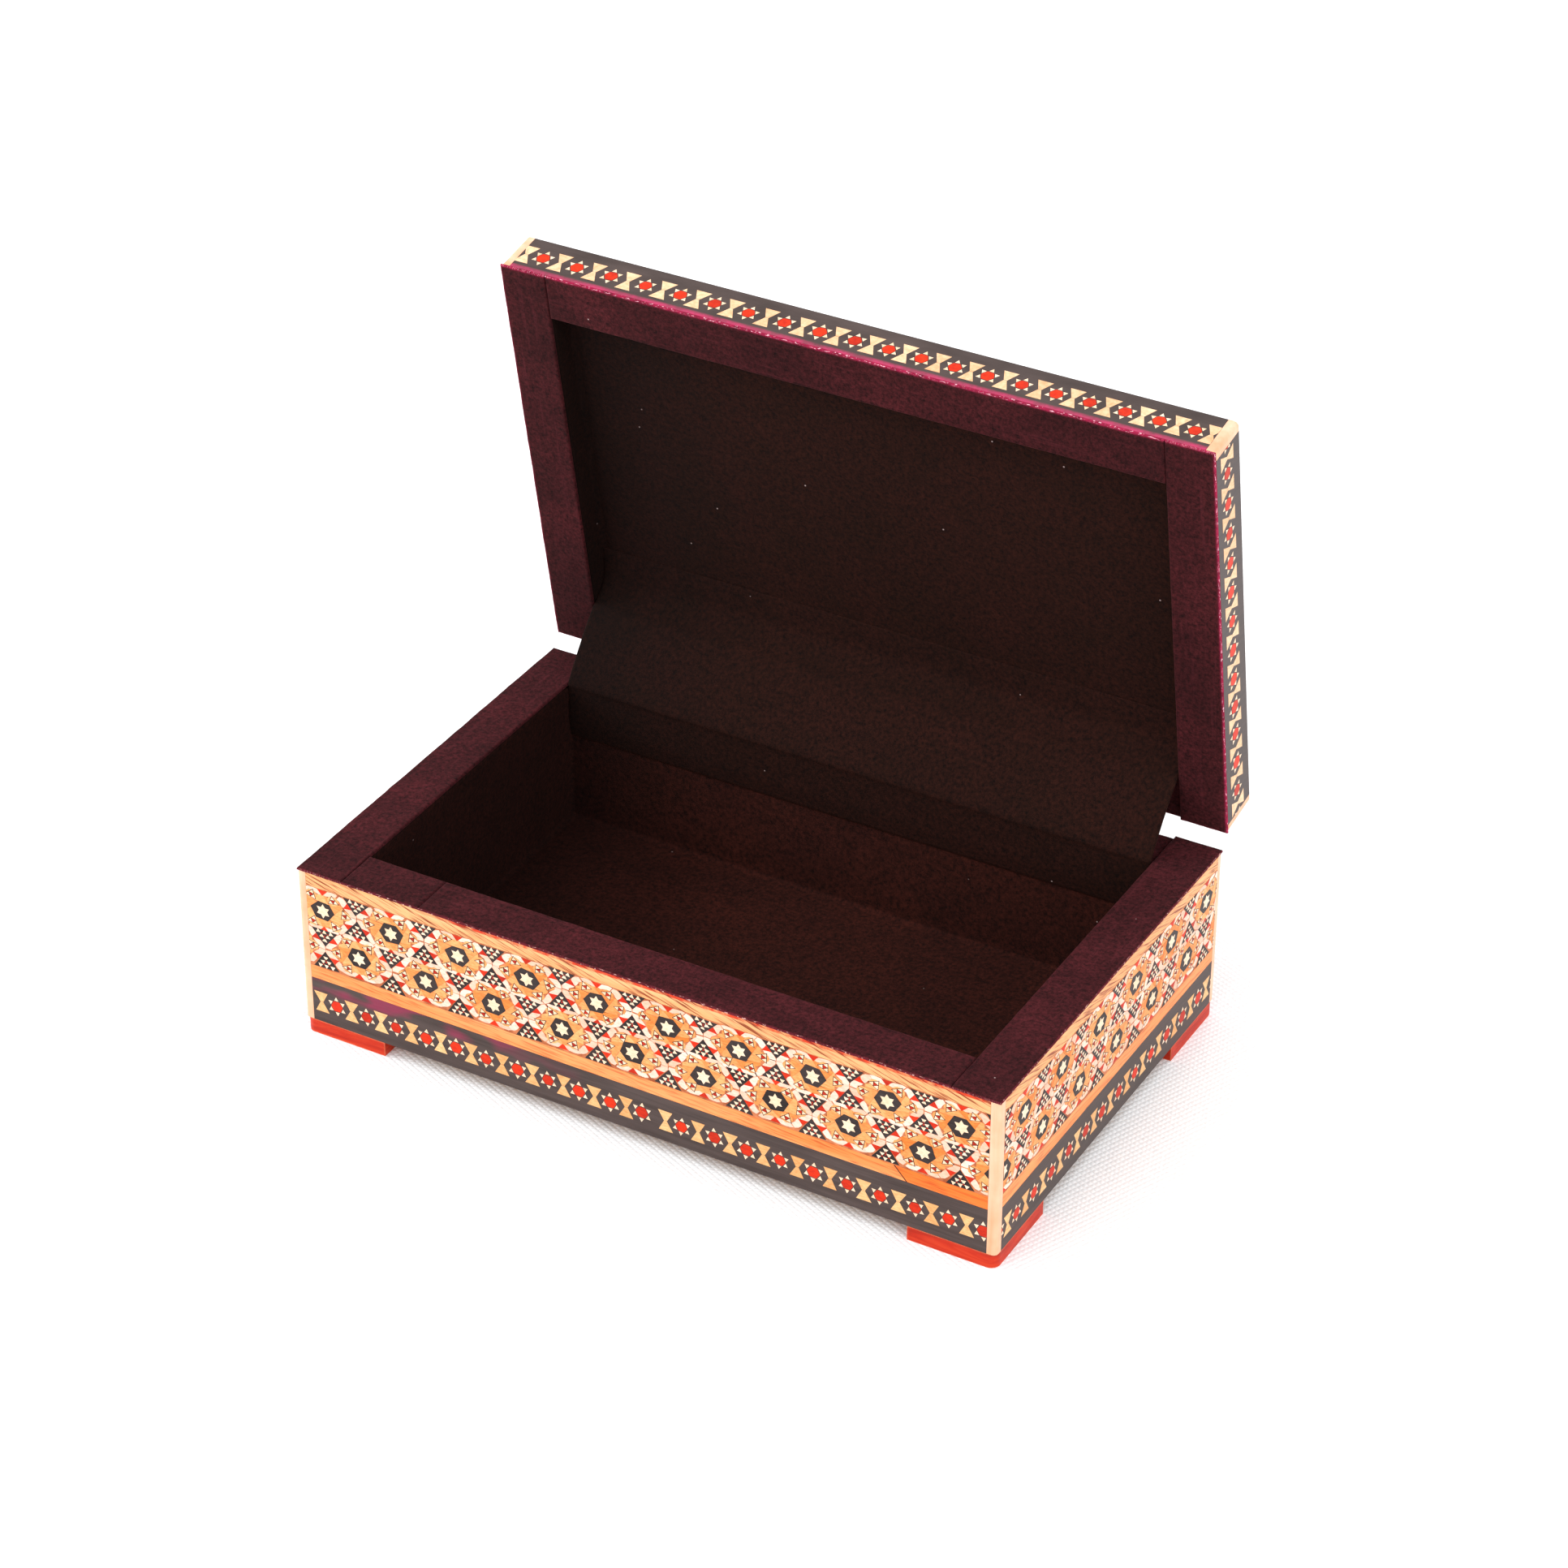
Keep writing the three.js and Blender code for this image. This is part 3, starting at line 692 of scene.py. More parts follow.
    def small_group(x, y, turn):
        """Three cream triangles round a red one, in a thin dark line."""
        size = rng.uniform(1.4, 1.62)
        inlay.add(turned(polygon(size * 1.17, 3), turn, x, y, 0.84), 3, "seam", rng.random())
        for k in range(3):
            spot = polygon(size * 0.53, 3)[k]
            shape = [(spot[0] + px * 0.44 * size, spot[1] + py * 0.44 * size) for px, py in polygon(1.0, 3)]
            inlay.add(turned(shape, turn, x, y, 0.84), 4, "cream", 0.3 + 0.7 * rng.random())
        shape = polygon(size * 0.43, 3, math.pi)
        inlay.add(turned(shape, turn, x, y, 0.84), 5, "red", 0.5 * rng.random())

    def dark_triangle(x, y, up, tall):
        """A black triangle with six white pieces and four red ones."""
        sign = 1 if up else -1
        twist = math.radians(rng.uniform(-4, 4))
        flat = tall / (1.5 * TRIANGLE)
        y = y + rng.uniform(-0.1, 0.1)
        ground = polygon(TRIANGLE, 3, math.pi / 2)
        inlay.add(turned([(px, sign * py) for px, py in ground], twist, x, y, flat), 3, "black", rng.random())
        for line, count in enumerate((1, 2, 3)):
            for i in range(count):
                px = (i - (count - 1) / 2) * TRIANGLE_SPREAD
                py = (1.15 - line) * TRIANGLE_SPREAD * math.sqrt(3) / 2
                sx, sy = turned([(px, sign * py)], twist, x, y, flat)[0]
                small = polygon(rng.uniform(0.62, 0.74), 3, -math.pi / 2 if up else math.pi / 2)
                jitter = rng.uniform(-0.2, 0.2)
                nudged = turned(small, jitter, sx + rng.uniform(-0.06, 0.06), sy, 0.94)
                inlay.add(nudged, 4, "cream", 0.7 + 0.3 * rng.random())
        for px, py in ((0, 0.16), (-0.78, -0.62), (0.78, -0.62), (0, 0.95)):
            sx, sy = turned([(px, sign * py)], twist, x, y, flat)[0]
            small = polygon(0.34, 3, math.pi / 2 if up else -math.pi / 2)
            inlay.add(turned(small, 0, sx, sy), 4, "red", 0.6 * rng.random())

    columns = int(inlay.width / PITCH) + 3
    stars = []
    for height, first in rows:
        start = first - PITCH * (1 + int((first + 7) / PITCH))
        for i in range(columns + 2):
            cx = start + i * PITCH
            if -8.0 < cx < inlay.width + 8.0:
                stars.append((cx, height))
    for cx, cy in stars:
        medallion(cx, cy)
    for r, (height, first) in enumerate(rows):
        start = first - PITCH * (1.5 + int((first + 7) / PITCH))
        for i in range(columns + 3):
            x = start + i * PITCH
            for up in (False, True):
                sign = -1 if up else 1
                y = height + sign * ROW * SQUASH / 3
                middle = warp(x, height)
                if -4 < x < inlay.width + 4 and 0.5 < y < inlay.height - 0.5:
                    tip = middle + sign * 0.72
                    base = middle + sign * 5.0
                    if sign > 0 and r == 0:
                        base = inlay.height - 0.2
                    elif sign < 0 and r == len(rows) - 1:
                        base = 0.2
                    tall = abs(base - tip)
                    dark_triangle(x, tip + sign * tall * 2 / 3, up, tall)


# ---- the bow ties and stars of the black bands
def bows_and_stars(inlay, middle, lengths, tall, base, bow_kind, rng):
    """A row of bow ties with a star after each. lengths holds (first bow tie, pitch, how many) of each
    length of strip that the row is made up from."""
    neck = base * 0.2
    for first, pitch, i in [(f, p, i) for f, p, n in lengths for i in range(n)]:
        x = first + i * pitch + rng.uniform(-0.15, 0.15)
        y = middle + rng.uniform(-0.08, 0.08)
        wide = base * rng.uniform(0.93, 1.05)
        tint = rng.random()
        for sign in (1, -1):
            h = sign * tall / 2
            skew = rng.uniform(-0.15, 0.15)
            shape = [
                (x - wide / 2 + skew, y + h),
                (x + wide / 2 + skew, y + h),
                (x + neck / 2, y + sign * 0.03),
                (x - neck / 2, y + sign * 0.03),
            ]
            inlay.add(shape, 1, bow_kind, min(1, tint * 0.8 + rng.random() * 0.3))
        sx, sy = x + pitch / 2 + rng.uniform(-0.12, 0.12), y + rng.uniform(-0.12, 0.12)
        scale = rng.uniform(0.92, 1.06) * (1.06 if tall > 5.5 else 1.0)
        turn = math.radians(rng.uniform(-7, 7))
        inlay.add(turned(polygon(1.5 * scale, 6), turn, sx, sy, 0.98), 2, "red", 0.45 + 0.55 * rng.random())
        for k in range(6):
            place = math.pi / 2 + k * SIXTH
            point = [(px + 1.78 * scale, py) for px, py in polygon(0.62 * scale, 3)]
            inlay.add(turned(point, place + turn, sx, sy, 1.02), 1, "cream", 0.5 + 0.5 * rng.random())


def face_matrix(side, low, inset=0.0):
    """Maps (along the face from its left end, up, outwards) as seen from outside onto one side of the box,
    in box coordinates: low is the height where up starts."""
    turn = {"front": 0, "right": 1, "back": 2, "left": 3}[side]
    half = HALF_X if turn % 2 == 0 else HALF_Y
    reach = HALF_Y if turn % 2 == 0 else HALF_X
    angle = turn * math.pi / 2
    to_side = Matrix(((1, 0, 0, -half + inset), (0, 0, -1, -reach), (0, 1, 0, low), (0, 0, 0, 1)))
    return Matrix.Rotation(angle, 4, "Z") @ to_side


FACE_INSET = POST + GLUE
STRIP_BOTTOM, STRIP_HEIGHT = 11.3, 3.25
BAND_BOTTOM, BAND_HEIGHT = 14.6, 20.85
ROW_TOP, ROW_BOTTOM = 15.4, 5.75
FIRST_STARS = {"front": (6.4, 15.0), "right": (11.0, 19.4), "back": (6.4, 15.0), "left": (11.0, 19.4)}
LONG_BOWS = [(4.6, 7.73, 11), (91.5, 7.95, 10)]
SHORT_BOWS = [(-2.9, 7.9, 14)]
LONG_LID_BOWS = [(3.6, 8.53, 10), (88.6, 7.83, 11)]
SHORT_LID_BOWS = [(-2.9, 7.9, 14)]


def from_panel(lengths):
    """The same places counted from the panel's end in place of the box's corner."""
    return [(first - FACE_INSET, pitch, count) for first, pitch, count in lengths]


for number, side in enumerate(("front", "right", "back", "left")):
    length = BOX_LENGTH if side in ("front", "back") else BOX_DEPTH
    width = length - 2 * FACE_INSET
    rng = random.Random(41 + number)
    band = Inlay(width, BAND_HEIGHT)
    upper, lower = (first - FACE_INSET for first in FIRST_STARS[side])
    khatam(band, [(ROW_TOP, upper), (ROW_BOTTOM, lower)], rng, (0.8, -0.45))
    band.piece(f"{side}_khatam_inlay", BASE @ face_matrix(side, BAND_BOTTOM, FACE_INSET), "base", "khatam")
    if side == "front":
        joint = Inlay(width, STRIP_HEIGHT)
        place = BOX_LENGTH / 2 + SCARF_X - FACE_INSET
        upper, lower = STRIP_HEIGHT, 0
        corners = [(place + 1.45, lower), (place + 1.75, lower), (place - 1.2, upper), (place - 1.5, upper)]
        joint.add(corners, 0, "seam", 0.0)
        matrix = BASE @ face_matrix(side, STRIP_BOTTOM, FACE_INSET)
        joint.piece("front_scarf_line", matrix, "base", "orange_strip")
    border = Inlay(width, 11.25)
    lengths = from_panel(LONG_BOWS if length == BOX_LENGTH else SHORT_BOWS)
    bows_and_stars(border, 5.35, lengths, 5.1, 3.5, "tan", rng)
    border.piece(f"{side}_border_inlay", BASE @ face_matrix(side, 0.0, FACE_INSET), "base", "border")
    edge = Inlay(width, LID_HEIGHT - RAIL_BOTTOM)
    lengths = from_panel(LONG_LID_BOWS if length == BOX_LENGTH else SHORT_LID_BOWS)
    bows_and_stars(edge, 5.65 - RAIL_BOTTOM, lengths, 5.8, 3.7, "pale", rng)
    edge.piece(f"lid_{side}_edge_inlay", LID @ face_matrix(side, RAIL_BOTTOM, FACE_INSET), "lid", "border")

# the top of the lid: a black border, an orange line and a field of stars
rng = random.Random(77)
top_width, top_height = BOX_LENGTH - 2 * VENEER - 0.3, BOX_DEPTH - 2 * VENEER - 0.3
top = Matrix.Translation((-top_width / 2, -top_height / 2, LID_HEIGHT))
BORDER, LINE = 12.0, 4.2
TOP_PITCH = 7.9
GROUND_LEVEL = -0.4  # just under the pieces laid on it
for number, (along, across, place) in enumerate(
    (
        (top_width, BORDER, Matrix.Identity(4)),
        (top_width, BORDER, Matrix.Translation((0, top_height - BORDER, 0))),
        (top_height, BORDER, Matrix.Translation((BORDER, 0, 0)) @ Matrix.Rotation(math.pi / 2, 4, "Z")),
        (top_height, BORDER, Matrix.Translation((top_width, 0, 0)) @ Matrix.Rotation(math.pi / 2, 4, "Z")),
    )
):
    strip = Inlay(along, across)
    lengthways = number < 2
    low, high = (0.0, along) if lengthways else (BORDER, along - BORDER)
    strip.add([(low, 0), (high, 0), (high, across), (low, across)], GROUND_LEVEL, "black", 0.4)
    inner = Inlay(high - low, across)
    lengths = [(4.0, TOP_PITCH, int((high - low) / TOP_PITCH) + 1)]
    bows_and_stars(inner, across / 2, lengths, 5.2, 3.5, "tan", rng)
    strip.piece(f"lid_top_border_{number}", LID @ top @ place, "lid", "border")
    raised = Matrix.Translation((low, 0, 0.004))
    inner.piece(f"lid_top_bows_{number}", LID @ top @ place @ raised, "lid", "border")
line_width, line_height = top_width - 2 * BORDER, top_height - 2 * BORDER
line = Inlay(line_width, line_height)
for low_x, low_y, high_x, high_y in (
    (0, 0, line_width, LINE),
    (0, line_height - LINE, line_width, line_height),
    (0, LINE, LINE, line_height - LINE),
    (line_width - LINE, LINE, line_width, line_height - LINE),
):
    line.add([(low_x, low_y), (high_x, low_y), (high_x, high_y), (low_x, high_y)], 0, "tan", 0.3)
line.piece("lid_top_line", LID @ top @ Matrix.Translation((BORDER, BORDER, 0)), "lid", "orange_strip")
field = Inlay(line_width - 2 * LINE, line_height - 2 * LINE)
rows = []
height = field.height - 5.45
while height > 1:
    rows.append((height, 8.0 if len(rows) % 2 == 0 else 8.0 + PITCH / 2))
    height -= (field.height - 10.9) / 6
khatam(field, rows, rng)
field.piece(
    "lid_top_inlay",
    LID @ top @ Matrix.Translation((BORDER + LINE, BORDER + LINE, 0)),
    "lid",
    "khatam",
)


# ---- velvet on the rims
STATION_STEP, SOFT_EDGE = 0.9, 0.45  # spacing of the mesh, and how far in a strip's edge is rounded


def velvet_strip(name, node, low, high, matrix, body, outer, cloth, reach, seams=(), seed=0.0):
    """A strip of velvet glued down: soft rounded edges, a lumpy surface, and cut edges on its outer sides.
    outer names the sides, -x +x -y +y, that lie on the box's outside, and reach is how far in their
    fraying shows."""
    (x0, y0, z0), (x1, y1, z1) = low, high

    def stations(a, b, breaks):
        inner = [a, a + 0.1, a + 0.25, a + 0.45, a + 0.8]
        inner += [b - 0.8, b - 0.45, b - 0.25, b - 0.1, b]
        count = max(2, int((b - a - 1.6) / STATION_STEP))
        inner += [a + 0.8 + (b - a - 1.6) * i / count for i in range(1, count)]
        for place in breaks:
            inner += [place - 0.35, place - 0.12, place, place + 0.12, place + 0.35]
        return sorted(set(round(v, 4) for v in inner))

    xs, ys = stations(x0, x1, seams), stations(y0, y1, ())
    top, verts, edge = {}, [], []
    for i, x in enumerate(xs):
        for j, y in enumerate(ys):
            near = {"-x": x - x0, "+x": x1 - x, "-y": y - y0, "+y": y1 - y}
            nearest = min(near.values())
            drop = 0.0
            if nearest < SOFT_EDGE:
                t = 1 - nearest / SOFT_EDGE
                drop = 0.42 * (1 - math.sqrt(max(0.0, 1 - t * t)))
            for place in seams:
                drop = max(drop, 0.3 * max(0.0, 1 - abs(x - place) / 0.3))
            lump = 0.10 * noise.noise(Vector((x * 0.16 + seed, y * 0.22, 3.1)))
            lump += 0.05 * noise.noise(Vector((x * 0.9, y * 0.9 + seed, 7.7)))
            ragged = 0.0
            cut = min((near[s] for s in outer), default=9.0)
            if cut < 0.3:
                ragged = 0.05 * noise.noise(Vector((x * 0.6, y * 0.6, seed)))
            z = z1 - 0.10 - drop + lump + ragged
            top[i, j] = len(verts)
            verts.append((x, y, min(z1, max(z, z0 + 0.1))))
            edge.append(max(0.0, 1 - cut / reach))
    faces = []
    nx, ny = len(xs), len(ys)
    for i in range(nx - 1):
        for j in range(ny - 1):
            faces.append((top[i, j], top[i + 1, j], top[i + 1, j + 1], top[i, j + 1]))
    rim = [(i, 0) for i in range(nx)] + [(nx - 1, j) for j in range(1, ny)]
    rim += [(i, ny - 1) for i in range(nx - 2, -1, -1)] + [(0, j) for j in range(ny - 2, 0, -1)]
    below = []
    for key in rim:
        x, y, _ = verts[top[key]]
        below.append(len(verts))
        verts.append((x, y, z0))
        edge.append(edge[top[key]])
    for k in range(len(rim)):
        n = (k + 1) % len(rim)
        faces.append((below[k], below[n], top[rim[n]], top[rim[k]]))
    faces.append(tuple(reversed(below)))
    piece = new_piece(name, verts, faces, matrix, body, [cloth], (node,), True)
    lengthwise = 0 if x1 - x0 > y1 - y0 else 1
    values = {"edge": edge}
    values["along"] = [v[lengthwise] + 40 * seed for v in verts]
    values["across"] = [v[1 - lengthwise] for v in verts]
    for key, numbers in values.items():
        piece.data.attributes.new(key, "FLOAT", "POINT").data.foreach_set("value", numbers)
    return piece


OPEN_X, OPEN_Y = HALF_X - OPENING_INSET, HALF_Y - OPENING_INSET
GAP = 0.06
rims = {
    "front": ((-OPEN_X + GAP, -HALF_Y), (OPEN_X - GAP, -OPEN_Y), ("-y",)),
    "back": ((-OPEN_X + GAP, OPEN_Y), (OPEN_X - GAP, HALF_Y), ("+y",)),
    "left": ((-HALF_X, -HALF_Y), (-OPEN_X, HALF_Y), ("-x", "-y", "+y")),
    "right": ((OPEN_X, -HALF_Y), (HALF_X, HALF_Y), ("+x", "-y", "+y")),
}
flip = Matrix.Diagonal((1, -1, -1, 1))
for number, (side, (low, high, outer)) in enumerate(rims.items()):
    drop = CLOTH_RELIEF if side == "back" else 0.0
    bottom = WALL_HEIGHT + GLUE - drop
    velvet_strip(
        f"{side}_rim_pile",
        f"{side}_rim_velvet",
        (*low, bottom),
        (*high, bottom + RIM_VELVET),
        BASE,
        "base",
        outer,
        RIM_CLOTH,
        0.22,
        (-HALF_X + 31.0,) if side == "front" else (),
        11.0 * number,
    )
    # the lid's strips face down when it is closed, so they are drawn upside down and turned over
    flipped_low = (low[0], -high[1], -drop - RIM_VELVET)
    flipped_high = (high[0], -low[1], -drop)
    swap = {"-y": "+y", "+y": "-y"}
    velvet_strip(
        f"lid_{side}_rim_pile",
        f"lid_{side}_rim_velvet",
        flipped_low,
        flipped_high,
        LID @ flip,
        "lid",
        tuple(swap.get(s, s) for s in outer),
        LID_RIM_CLOTH,
        0.5,
        (),
        11.0 * number + 5,
    )


# ---- velvet linings
FLOOR_RINGS = 16


def rounded_ring(half_x, half_y, radius, z, across=46, deep=28, corner=5):
    """One level of a rounded rectangle, always with the same number of points."""
    radius = max(0.02, min(radius, half_x - 0.01, half_y - 0.01))
    out = []
    for k, (sx, sy) in enumerate(((1, -1), (1, 1), (-1, 1), (-1, -1))):
        cx, cy = sx * (half_x - radius), sy * (half_y - radius)
        start = math.radians(-90 + 90 * k)
        for i in range(corner + 1):
            angle = start + math.radians(90) * i / corner
            out.append((cx + radius * math.cos(angle), cy + radius * math.sin(angle), z))
        nxt = ((1, 1), (-1, 1), (-1, -1), (1, -1))[k]
        a = out[-1]
        angle = start + math.radians(90)
        b = (
            nxt[0] * (half_x - radius) + radius * math.cos(angle),
            nxt[1] * (half_y - radius) + radius * math.sin(angle),
        )
        count = deep if k % 2 == 0 else across
        for i in range(1, count):
            t = i / count
            out.append((a[0] + t * (b[0] - a[0]), a[1] + t * (b[1] - a[1]), z))
    return out


def lining(name, node, half_x, half_y, bottom, top, matrix, body, seed, hinge_way, cloth):
    """The velvet of a hollow: four walls and a floor with soft folds where they meet, open at the top.
    It reaches up to the rim's velvet except along the hinge side, which lies towards hinge_way in y."""
    inner_x, inner_y = half_x - LINING, half_y - LINING
    floor = bottom + LINING
    rings = [rounded_ring(half_x, half_y, 0.05, bottom), rounded_ring(half_x, half_y, 0.05, top - 0.35)]
    rings.append(rounded_ring(half_x - 0.12, half_y - 0.12, 0.1, top - 0.08))
    rings.append(rounded_ring(half_x - 0.4, half_y - 0.4, 0.3, top))
    rings.append(rounded_ring(inner_x + 0.12, inner_y + 0.12, 0.5, top - 0.1))
    tall = top - floor
    levels = max(3, int(tall / 2.0))
    for i in range(levels):
        z = top - 0.45 - (tall - 1.3) * i / (levels - 1)
        rings.append(rounded_ring(inner_x, inner_y, 0.9, z))
    for z, inset in ((0.5, 0.06), (0.22, 0.22), (0.05, 0.5), (0.0, 0.9)):
        rings.append(rounded_ring(inner_x - inset, inner_y - inset, 0.9, floor + z))
    # a shallow groove where the floor's own piece of velvet starts
    for inset, z in ((1.15, -0.1), (1.45, -0.14), (1.75, -0.04), (2.2, 0.0)):
        rings.append(rounded_ring(inner_x - inset, inner_y - inset, 0.9, floor + z))
    for i in range(1, FLOOR_RINGS + 1):
        inset = 2.2 + (inner_y - 3.2) * i / FLOOR_RINGS
        rings.append(rounded_ring(inner_x - inset, inner_y - inset, 0.9, floor))
    verts, faces = [], []
    n = len(rings[0])
    for r, ring in enumerate(rings):
        for x, y, z in ring:
            if 1 <= r <= 4 and hinge_way * y < half_y - 1.5:
                z += CLOTH_RELIEF
            if r >= 4:
                swell = 0.13 * noise.noise(Vector((x * 0.06 + seed, y * 0.06, z * 0.09)))
                swell += 0.06 * noise.noise(Vector((x * 0.25, y * 0.25 + seed, z * 0.3)))
                if r >= 4 + levels:
                    z += swell
                else:
                    reach_x, reach_y = abs(x) / inner_x, abs(y) / inner_y
                    if reach_x > reach_y:
                        x -= math.copysign(abs(swell), x)
                    else:
                        y -= math.copysign(abs(swell), y)
            verts.append((x, y, max(z, bottom + 0.3) if r >= 4 else z))
    for r in range(len(rings) - 1):
        for i in range(n):
            j = (i + 1) % n
            faces.append((r * n + i, r * n + j, (r + 1) * n + j, (r + 1) * n + i))
    faces.append(tuple(reversed(range(n))))
    last = (len(rings) - 1) * n
    faces.append(tuple(range(last, last + n)))
    return new_piece(name, verts, faces, matrix, body, [cloth], (node,), True)


half_x, half_y = HALF_X - CORE_INNER - GLUE, HALF_Y - CORE_INNER - GLUE
for name, bottom, top, matrix, body, seed, hinge_way, cloth in (
    ("base", FLOOR_THICKNESS + GLUE, WALL_HEIGHT - CLOTH_RELIEF, BASE, "base", 2.0, 1, LINING_CLOTH_PAINTED_LIGHTER),
    ("lid", -RAIL_TOP, -RAIL_BOTTOM - CLOTH_RELIEF, LID @ flip, "lid", 9.0, -1, LID_CLOTH),
):
    names = (f"{name}_lining_pile", f"{name}_lining")
    lining(*names, half_x, half_y, bottom, top, matrix, body, seed, hinge_way, cloth)


# ---- the velvet strip over the hinge line
def lid_point(up, into):
    """A point of the lid where it stands: up from the hinge edge, into the lid from its rim."""
    place = LID @ Vector((0, HALF_Y - up, into))
    return (place.y, place.z)


THINNER = 0.86  # the visual strip's thickness as a share of the CAD's


def cloth_path():
    stand = CLOTH_GAP + CLOTH / 2
    wall = BOX_Y + HALF_Y - OPENING_INSET - stand
    rim = RIM_TOP + FOOT_HEIGHT
    edge = OPENING_INSET + stand
    deep = RAIL_TOP - LINING - stand
    start, end = (wall, rim + 0.3), lid_point(edge, -stand)
    dy, dz = end[0] - start[0], end[1] - start[1]
    long = math.hypot(dy, dz)

    def bridge(t):
        bow = 4 * CLOTH_BOW * t * (1 - t) / long
        return (start[0] + t * dy - bow * dz, start[1] + t * dz + bow * dy)

    points = [(wall, rim - CLOTH_DOWN_WALL), (wall, rim - CLOTH_DOWN_WALL / 2), (wall, rim - 1.6), start]
    points += [bridge(0.25), bridge(0.5), bridge(0.75), end]
    points += [
        lid_point(edge + 1.2, deep / 3),
        lid_point(edge + 4, deep * 5 / 6),
        lid_point(edge + 7.5, deep),
        lid_point(edge + CLOTH_UP_LID, deep),
    ]
    return points, start, end


def catmull(points, t):
    """The same smooth curve as the CAD's spline through the points."""
    n = len(points) - 1
    p = n * t
    i = min(int(p), n - 1)
    w = p - i
    p0 = points[max(i - 1, 0)]
    p1, p2 = points[i], points[min(i + 1, n)]
    p3 = points[min(i + 2, n)]
    out = []
    for a, b, c, d in zip(p0, p1, p2, p3):
        v0, v1 = (c - a) / 2, (d - b) / 2
        out.append((2 * b - 2 * c + v0 + v1) * w**3 + (-3 * b + 3 * c - 2 * v0 - v1) * w**2 + v0 * w + b)
    return out


def hinge_strip():
    points, start, end = cloth_path()
    half = HALF_X - OPENING_INSET - CLOTH_GAP
    along, steps = 64, 74
    thick = CLOTH * THINNER
    line = [Vector((0, *catmull(points, i / steps))) for i in range(steps + 1)]
    length = sum((b - a).length for a, b in zip(line, line[1:]))
    run, runs = 0.0, [0.0]
    for a, b in zip(line, line[1:]):
        run += (b - a).length
        runs.append(run)
    xs = [-half, -half + 0.15, -half + 0.4, -half + 0.9]
    xs += [-half + 0.9 + (2 * half - 1.8) * i / along for i in range(1, along)]
    xs += [half - 0.9, half - 0.4, half - 0.15, half]
    verts = []
    for layer in (1, -1):
        for i, p in enumerate(line):
            q = line[min(i + 1, steps)] - line[max(i - 1, 0)]
            normal = Vector((0, -q.z, q.y)).normalized()
            free = math.sin(math.pi * min(1, max(0, (runs[i] - 13) / 24))) ** 2
            for x in xs:
                rim = min(half - abs(x), 0.5) / 0.5
                round_off = math.sqrt(max(0.0, 1 - (1 - rim) ** 2))
                wave = free * 0.22 * noise.noise(Vector((x * 0.045, runs[i] * 0.05, 1.7)))
                crease = free * 0.05 * noise.noise(Vector((x * 0.02, runs[i] * 0.9, 5.1)))
                thinned = min(1.0, 0.3 + 0.7 * min(runs[i], length - runs[i]) / 4.0)
                pressed = (thick / 2 + CLOTH_GAP) * (1 - thinned)
                lift = layer * thick / 2 * max(0.3, round_off) * thinned + wave + crease - pressed
                spot = Vector((x, p.y, p.z)) + normal * lift
                verts.append(spot)
    nx, ny = len(xs), steps + 1
    faces = []
    second = nx * ny
    for i in range(ny - 1):
        for j in range(nx - 1):
            a = i * nx + j
            faces.append((a, a + 1, a + nx + 1, a + nx))
            faces.append((second + a, second + a + nx, second + a + nx + 1, second + a + 1))
    rim = [j for j in range(nx)] + [i * nx + nx - 1 for i in range(1, ny)]
    rim += [(ny - 1) * nx + j for j in range(nx - 2, -1, -1)] + [i * nx for i in range(ny - 2, 0, -1)]
    for k, a in enumerate(rim):
        b = rim[(k + 1) % len(rim)]
        faces.append((b, a, second + a, second + b))
    piece = new_piece(
        "hinge_strip", verts, faces, Matrix.Identity(4), None, [STRIP_CLOTH], (), True
    )
    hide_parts("hinge_cloth")
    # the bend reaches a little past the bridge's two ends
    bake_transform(piece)
    return length


strip_length = hinge_strip()
print("velvet strip, mm:", round(strip_length, 1))


# ---- floor and light
THREAD = 0.0006  # the white cloth's threads, in metres


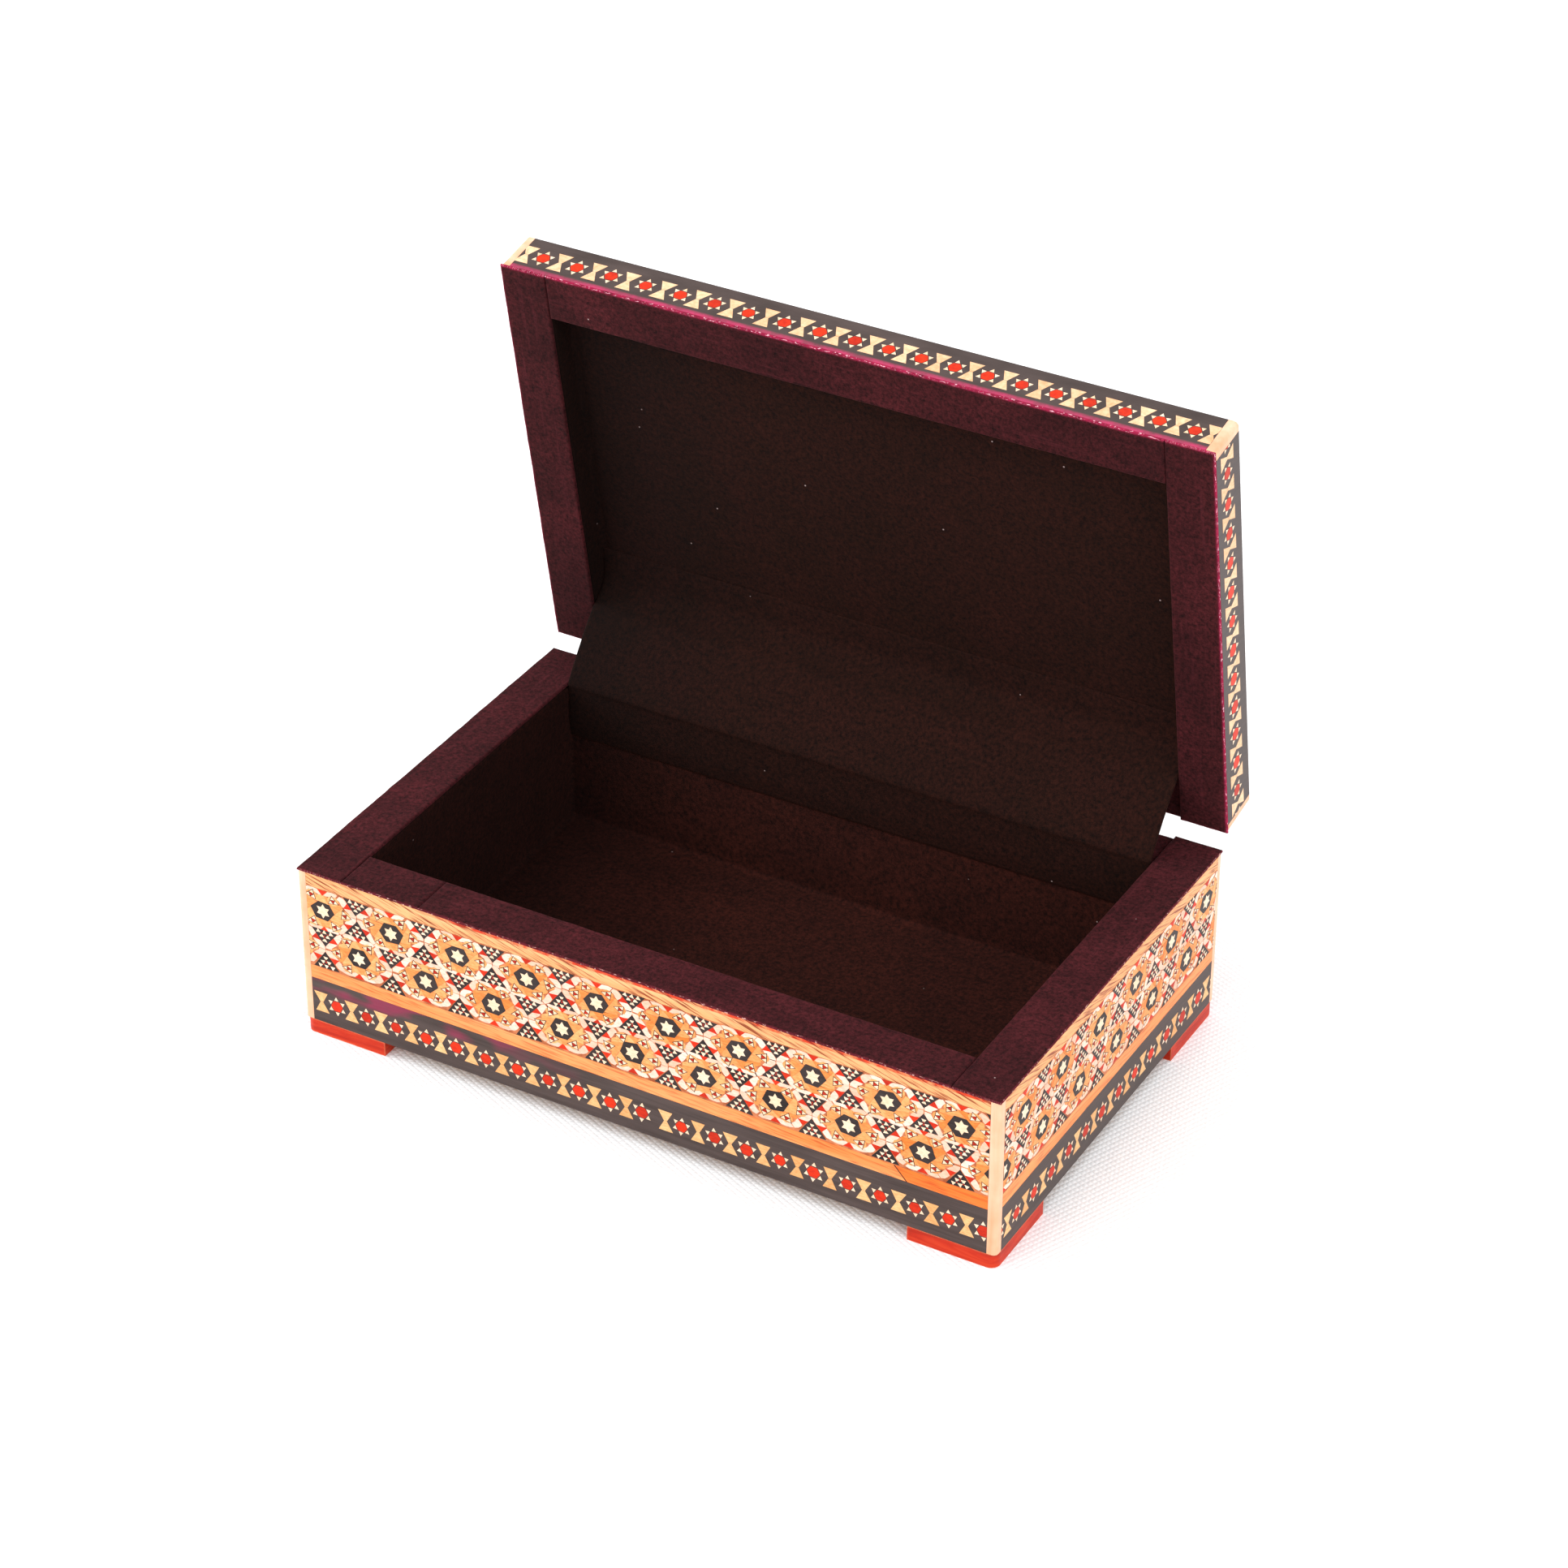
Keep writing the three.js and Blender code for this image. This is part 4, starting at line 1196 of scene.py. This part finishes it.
def floor_material():
    """White cloth of plain weave."""
    s = Shader("white_cloth", Roughness=0.95, Specular_IOR_Level=0.1)
    xyz = s.node("SeparateXYZ", {0: s.stretched((1, 1, 1), (0, 0, 0.42))})
    wave = 2 * math.pi / (2 * THREAD)
    warp = s.math("ABSOLUTE", s.math("SINE", s.times(xyz.outputs[0], wave / 2)))
    weft = s.math("ABSOLUTE", s.math("SINE", s.times(xyz.outputs[1], wave / 2)))
    uneven = s.noise(900, 2)
    weave = s.plus(s.times(warp, weft), s.times(uneven, 0.8))
    s.color(s.ramp(weave, [(0.25, srgb(236, 236, 238)), (0.75, srgb(249, 250, 252))]))
    s.bump(weave, 0.45, 0.00025)
    return s.mat


floor_mesh = bpy.data.meshes.new("floor")
floor_mesh.from_pydata([(-6, -6, 0), (6, -6, 0), (6, 6, 0), (-6, 6, 0)], [], [(0, 1, 2, 3)])
floor_mesh.materials.append(floor_material())
floor = bpy.data.objects.new("floor", floor_mesh)
bpy.context.scene.collection.objects.link(floor)
floor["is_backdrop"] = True

world = bpy.data.worlds.new("studio")
bpy.context.scene.world = world
world.use_nodes = True
world.node_tree.nodes["Background"].inputs["Color"].default_value = (1, 1, 1, 1)
world.node_tree.nodes["Background"].inputs["Strength"].default_value = 0.9


def softbox(name, place, target, size, power):
    light = bpy.data.lights.new(name, "AREA")
    light.size = size
    light.energy = power
    lamp = bpy.data.objects.new(name, light)
    lamp.location = place
    lamp.rotation_mode = "QUATERNION"
    lamp.rotation_quaternion = (Vector(place) - Vector(target)).to_track_quat("Z", "Y")
    bpy.context.scene.collection.objects.link(lamp)


for name, place, height, size, power in (
    ("left", (-1.15, -0.3, 0.7), 0.04, 0.7, 11.0),
    ("front", (-0.2, -1.2, 0.9), 0.04, 0.9, 7.0),
    ("right", (1.2, -0.3, 0.7), 0.04, 0.8, 7.5),
    ("back", (0.1, 1.2, 1.2), 0.05, 1.0, 8.0),
):
    softbox(name, place, (0, 0, height), size, power)
bpy.context.scene.view_settings.view_transform = "Standard"

# ---- how big it came out
low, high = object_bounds()
